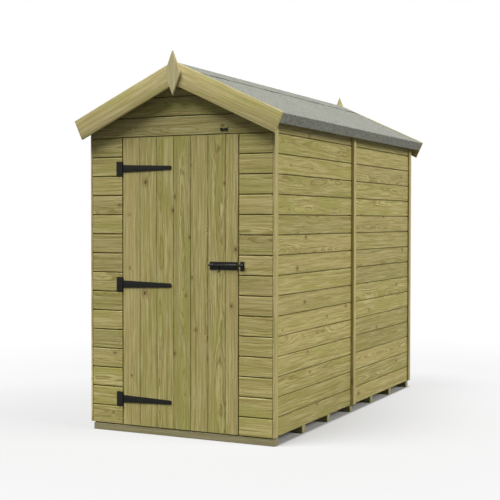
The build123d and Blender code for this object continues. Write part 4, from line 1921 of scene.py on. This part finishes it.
@dataclass(frozen=True)
class Lamp:
    """A wide soft lamp far away."""

    name: str
    toward: Triple
    strength: float
    spread: float
    colour: Triple
    distance: float = 9.0

    def hang(self) -> None:
        """Hangs the lamp where it shines on the shed."""
        data = bpy.data.lights.new(self.name, "SUN")
        data.color = self.colour
        data.energy = self.strength
        data.angle = math.radians(self.spread)
        lamp = bpy.data.objects.new(self.name, data)
        lamp.location = Vector(self.toward) * self.distance
        lamp.rotation_euler = (-Vector(self.toward)).to_track_quat("-Z", "Y").to_euler()
        bpy.context.scene.collection.objects.link(lamp)


@dataclass
class Studio:
    """Pale floor, white surround, soft lamps and the camera at the photograph's place."""

    eye: Triple = (3.0427, -6.5673, 1.2367)
    lens: float = 77.8
    sensor: float = 36.0
    tilt: float = 88.453
    turn: float = 25.886
    roll: float = 0.0013
    lamps: tuple[Lamp, ...] = (
        Lamp("key", (-0.25, -0.41, 0.88), 5.05, 36.0, (1.0, 1.0, 0.99)),
        Lamp("side", (0.85, 0.10, 0.50), 2.62, 32.0, (1.0, 0.985, 0.90)),
    )
    ambient: float = 0.15
    paper: Triple = (178, 178, 180)
    bounce: Triple = (105, 105, 103)
    white: float = 0.932
    floor_radius: float = 30.0
    shed_half_width: float = 0.585
    shed_half_depth: float = 1.20

    def seen_directly(self, wire: Wiring) -> Socket:
        """Tells rays from the camera, off a mirror or through glass from the rest.

        Args:
            wire: the material or world being wired.

        Returns:
            One for such rays, and zero for light that falls on the shed.
        """
        path = wire.add("ShaderNodeLightPath")
        seen = wire.math("MAXIMUM", path.outputs["Is Camera Ray"], path.outputs["Is Glossy Ray"])
        return wire.math("MAXIMUM", seen, path.outputs["Is Transmission Ray"])

    def from_wall(self, wire: Wiring, where: object, half: float) -> Socket:
        """How far a place lies outside the shed along one axis."""
        return wire.math("MAXIMUM", wire.minus(wire.math("ABSOLUTE", where), half), 0.0)

    def floor(self) -> None:
        """Lays a wide pale floor that keeps a soft shadow and turns white away from the shed; to the camera
        it glows over its lit paper, lifting the shadow with painted light, more away from the shed and
        towards the back, and not at all under the shed.
        """
        put_down()
        bpy.ops.mesh.primitive_circle_add(vertices=96, radius=self.floor_radius, fill_type="NGON",
                                          location=(0.0, 0.0, 0.0))
        ground = bpy.context.object
        ground.name = "studio_floor"
        wire = Wiring(bpy.data.materials.new("studio_paper"))
        across, deep, _ = wire.parts(wire.here())
        beside = self.from_wall(wire, across, self.shed_half_width)
        before = self.from_wall(wire, deep, self.shed_half_depth)
        away = wire.math("SQRT", wire.plus(wire.times(beside, beside), wire.times(before, before)))
        seen = self.seen_directly(wire)
        # Painted light: the share of camera-only glow laid over the lit paper, which lifts the real shadow;
        # it grows away from the shed and towards the back, drops a little on the far left, and is nothing
        # under the shed
        painted_light_share = wire.plus(wire.rise(away, -0.8, 2.4, 0.384, 1.0), wire.rise(deep, -1.0, 1.3, 0.0, 0.30))
        painted_light_share = wire.math("MINIMUM", wire.minus(painted_light_share, wire.rise(across, -1.1, -0.5, 0.03, 0.0)), 1.0)
        painted_light_share = wire.times(painted_light_share, wire.rise(away, 0.0, 0.03))
        far = wire.rise(away, 1.0, 6.0)
        paper = wire.add("ShaderNodeBsdfDiffuse")
        wire.feed(paper.inputs["Color"], wire.mix(seen, self.bounce, self.paper))
        glow = wire.add("ShaderNodeEmission")
        bright = wire.times(seen, wire.rise(away, 0.9, 3.6, self.white, 1.0))
        dim = wire.times(wire.minus(1.0, seen), self.ambient)
        wire.feed(glow.inputs["Strength"], wire.plus(bright, dim))
        blend = wire.add("ShaderNodeMixShader")
        part = wire.plus(wire.times(seen, wire.minus(painted_light_share, far)), far)
        wire.feed_all(blend.inputs, part, paper.outputs[0], glow.outputs[0])
        wire.end("ShaderNodeOutputMaterial", blend.outputs[0])
        ground.data.materials.append(wire.owner)

    def surround(self) -> None:
        """Makes the world white to the camera and a plain soft light to the shed."""
        world = bpy.data.worlds.new("studio")
        bpy.context.scene.world = world
        wire = Wiring(world)
        light = wire.add("ShaderNodeBackground")
        light.inputs["Color"].default_value = (1.0, 1.0, 1.0, 1.0)
        wire.feed(light.inputs["Strength"], wire.rise(self.seen_directly(wire), 0.0, 1.0, self.ambient, 1.0))
        wire.end("ShaderNodeOutputWorld", light.outputs[0])

    def camera(self) -> None:
        """Sets the camera up where the photograph was taken."""
        data = bpy.data.cameras.new("camera")
        data.lens = self.lens
        data.sensor_width = self.sensor
        data.clip_end = 100.0
        camera = bpy.data.objects.new("camera", data)
        bpy.context.scene.collection.objects.link(camera)
        aim = Euler((math.radians(self.tilt), 0.0, math.radians(self.turn))).to_matrix()
        rolled = aim @ Matrix.Rotation(self.roll, 3, "Z")
        camera.matrix_world = Matrix.Translation(self.eye) @ rolled.to_4x4()
        bpy.context.scene.camera = camera

    def build(self) -> None:
        """Sets the studio up around the shed."""
        self.floor()
        self.surround()
        for lamp in self.lamps:
            lamp.hang()
        self.camera()
        view = bpy.context.scene.view_settings
        view.view_transform = "Standard"


def main() -> None:
    """Builds the shed piece by piece and sets it in the studio."""
    logging.basicConfig(level=logging.INFO, format="%(name)s %(message)s")
    Studio().build()
    stock = Stock()
    for sub_assembly in (Floor, Framing, Cladding, Roof, Trim, DoorLeaf, Ironwork):
        sub_assembly(stock).build()
    stock.clear_away()
    put_down()


if __name__ == "__main__":
    main()
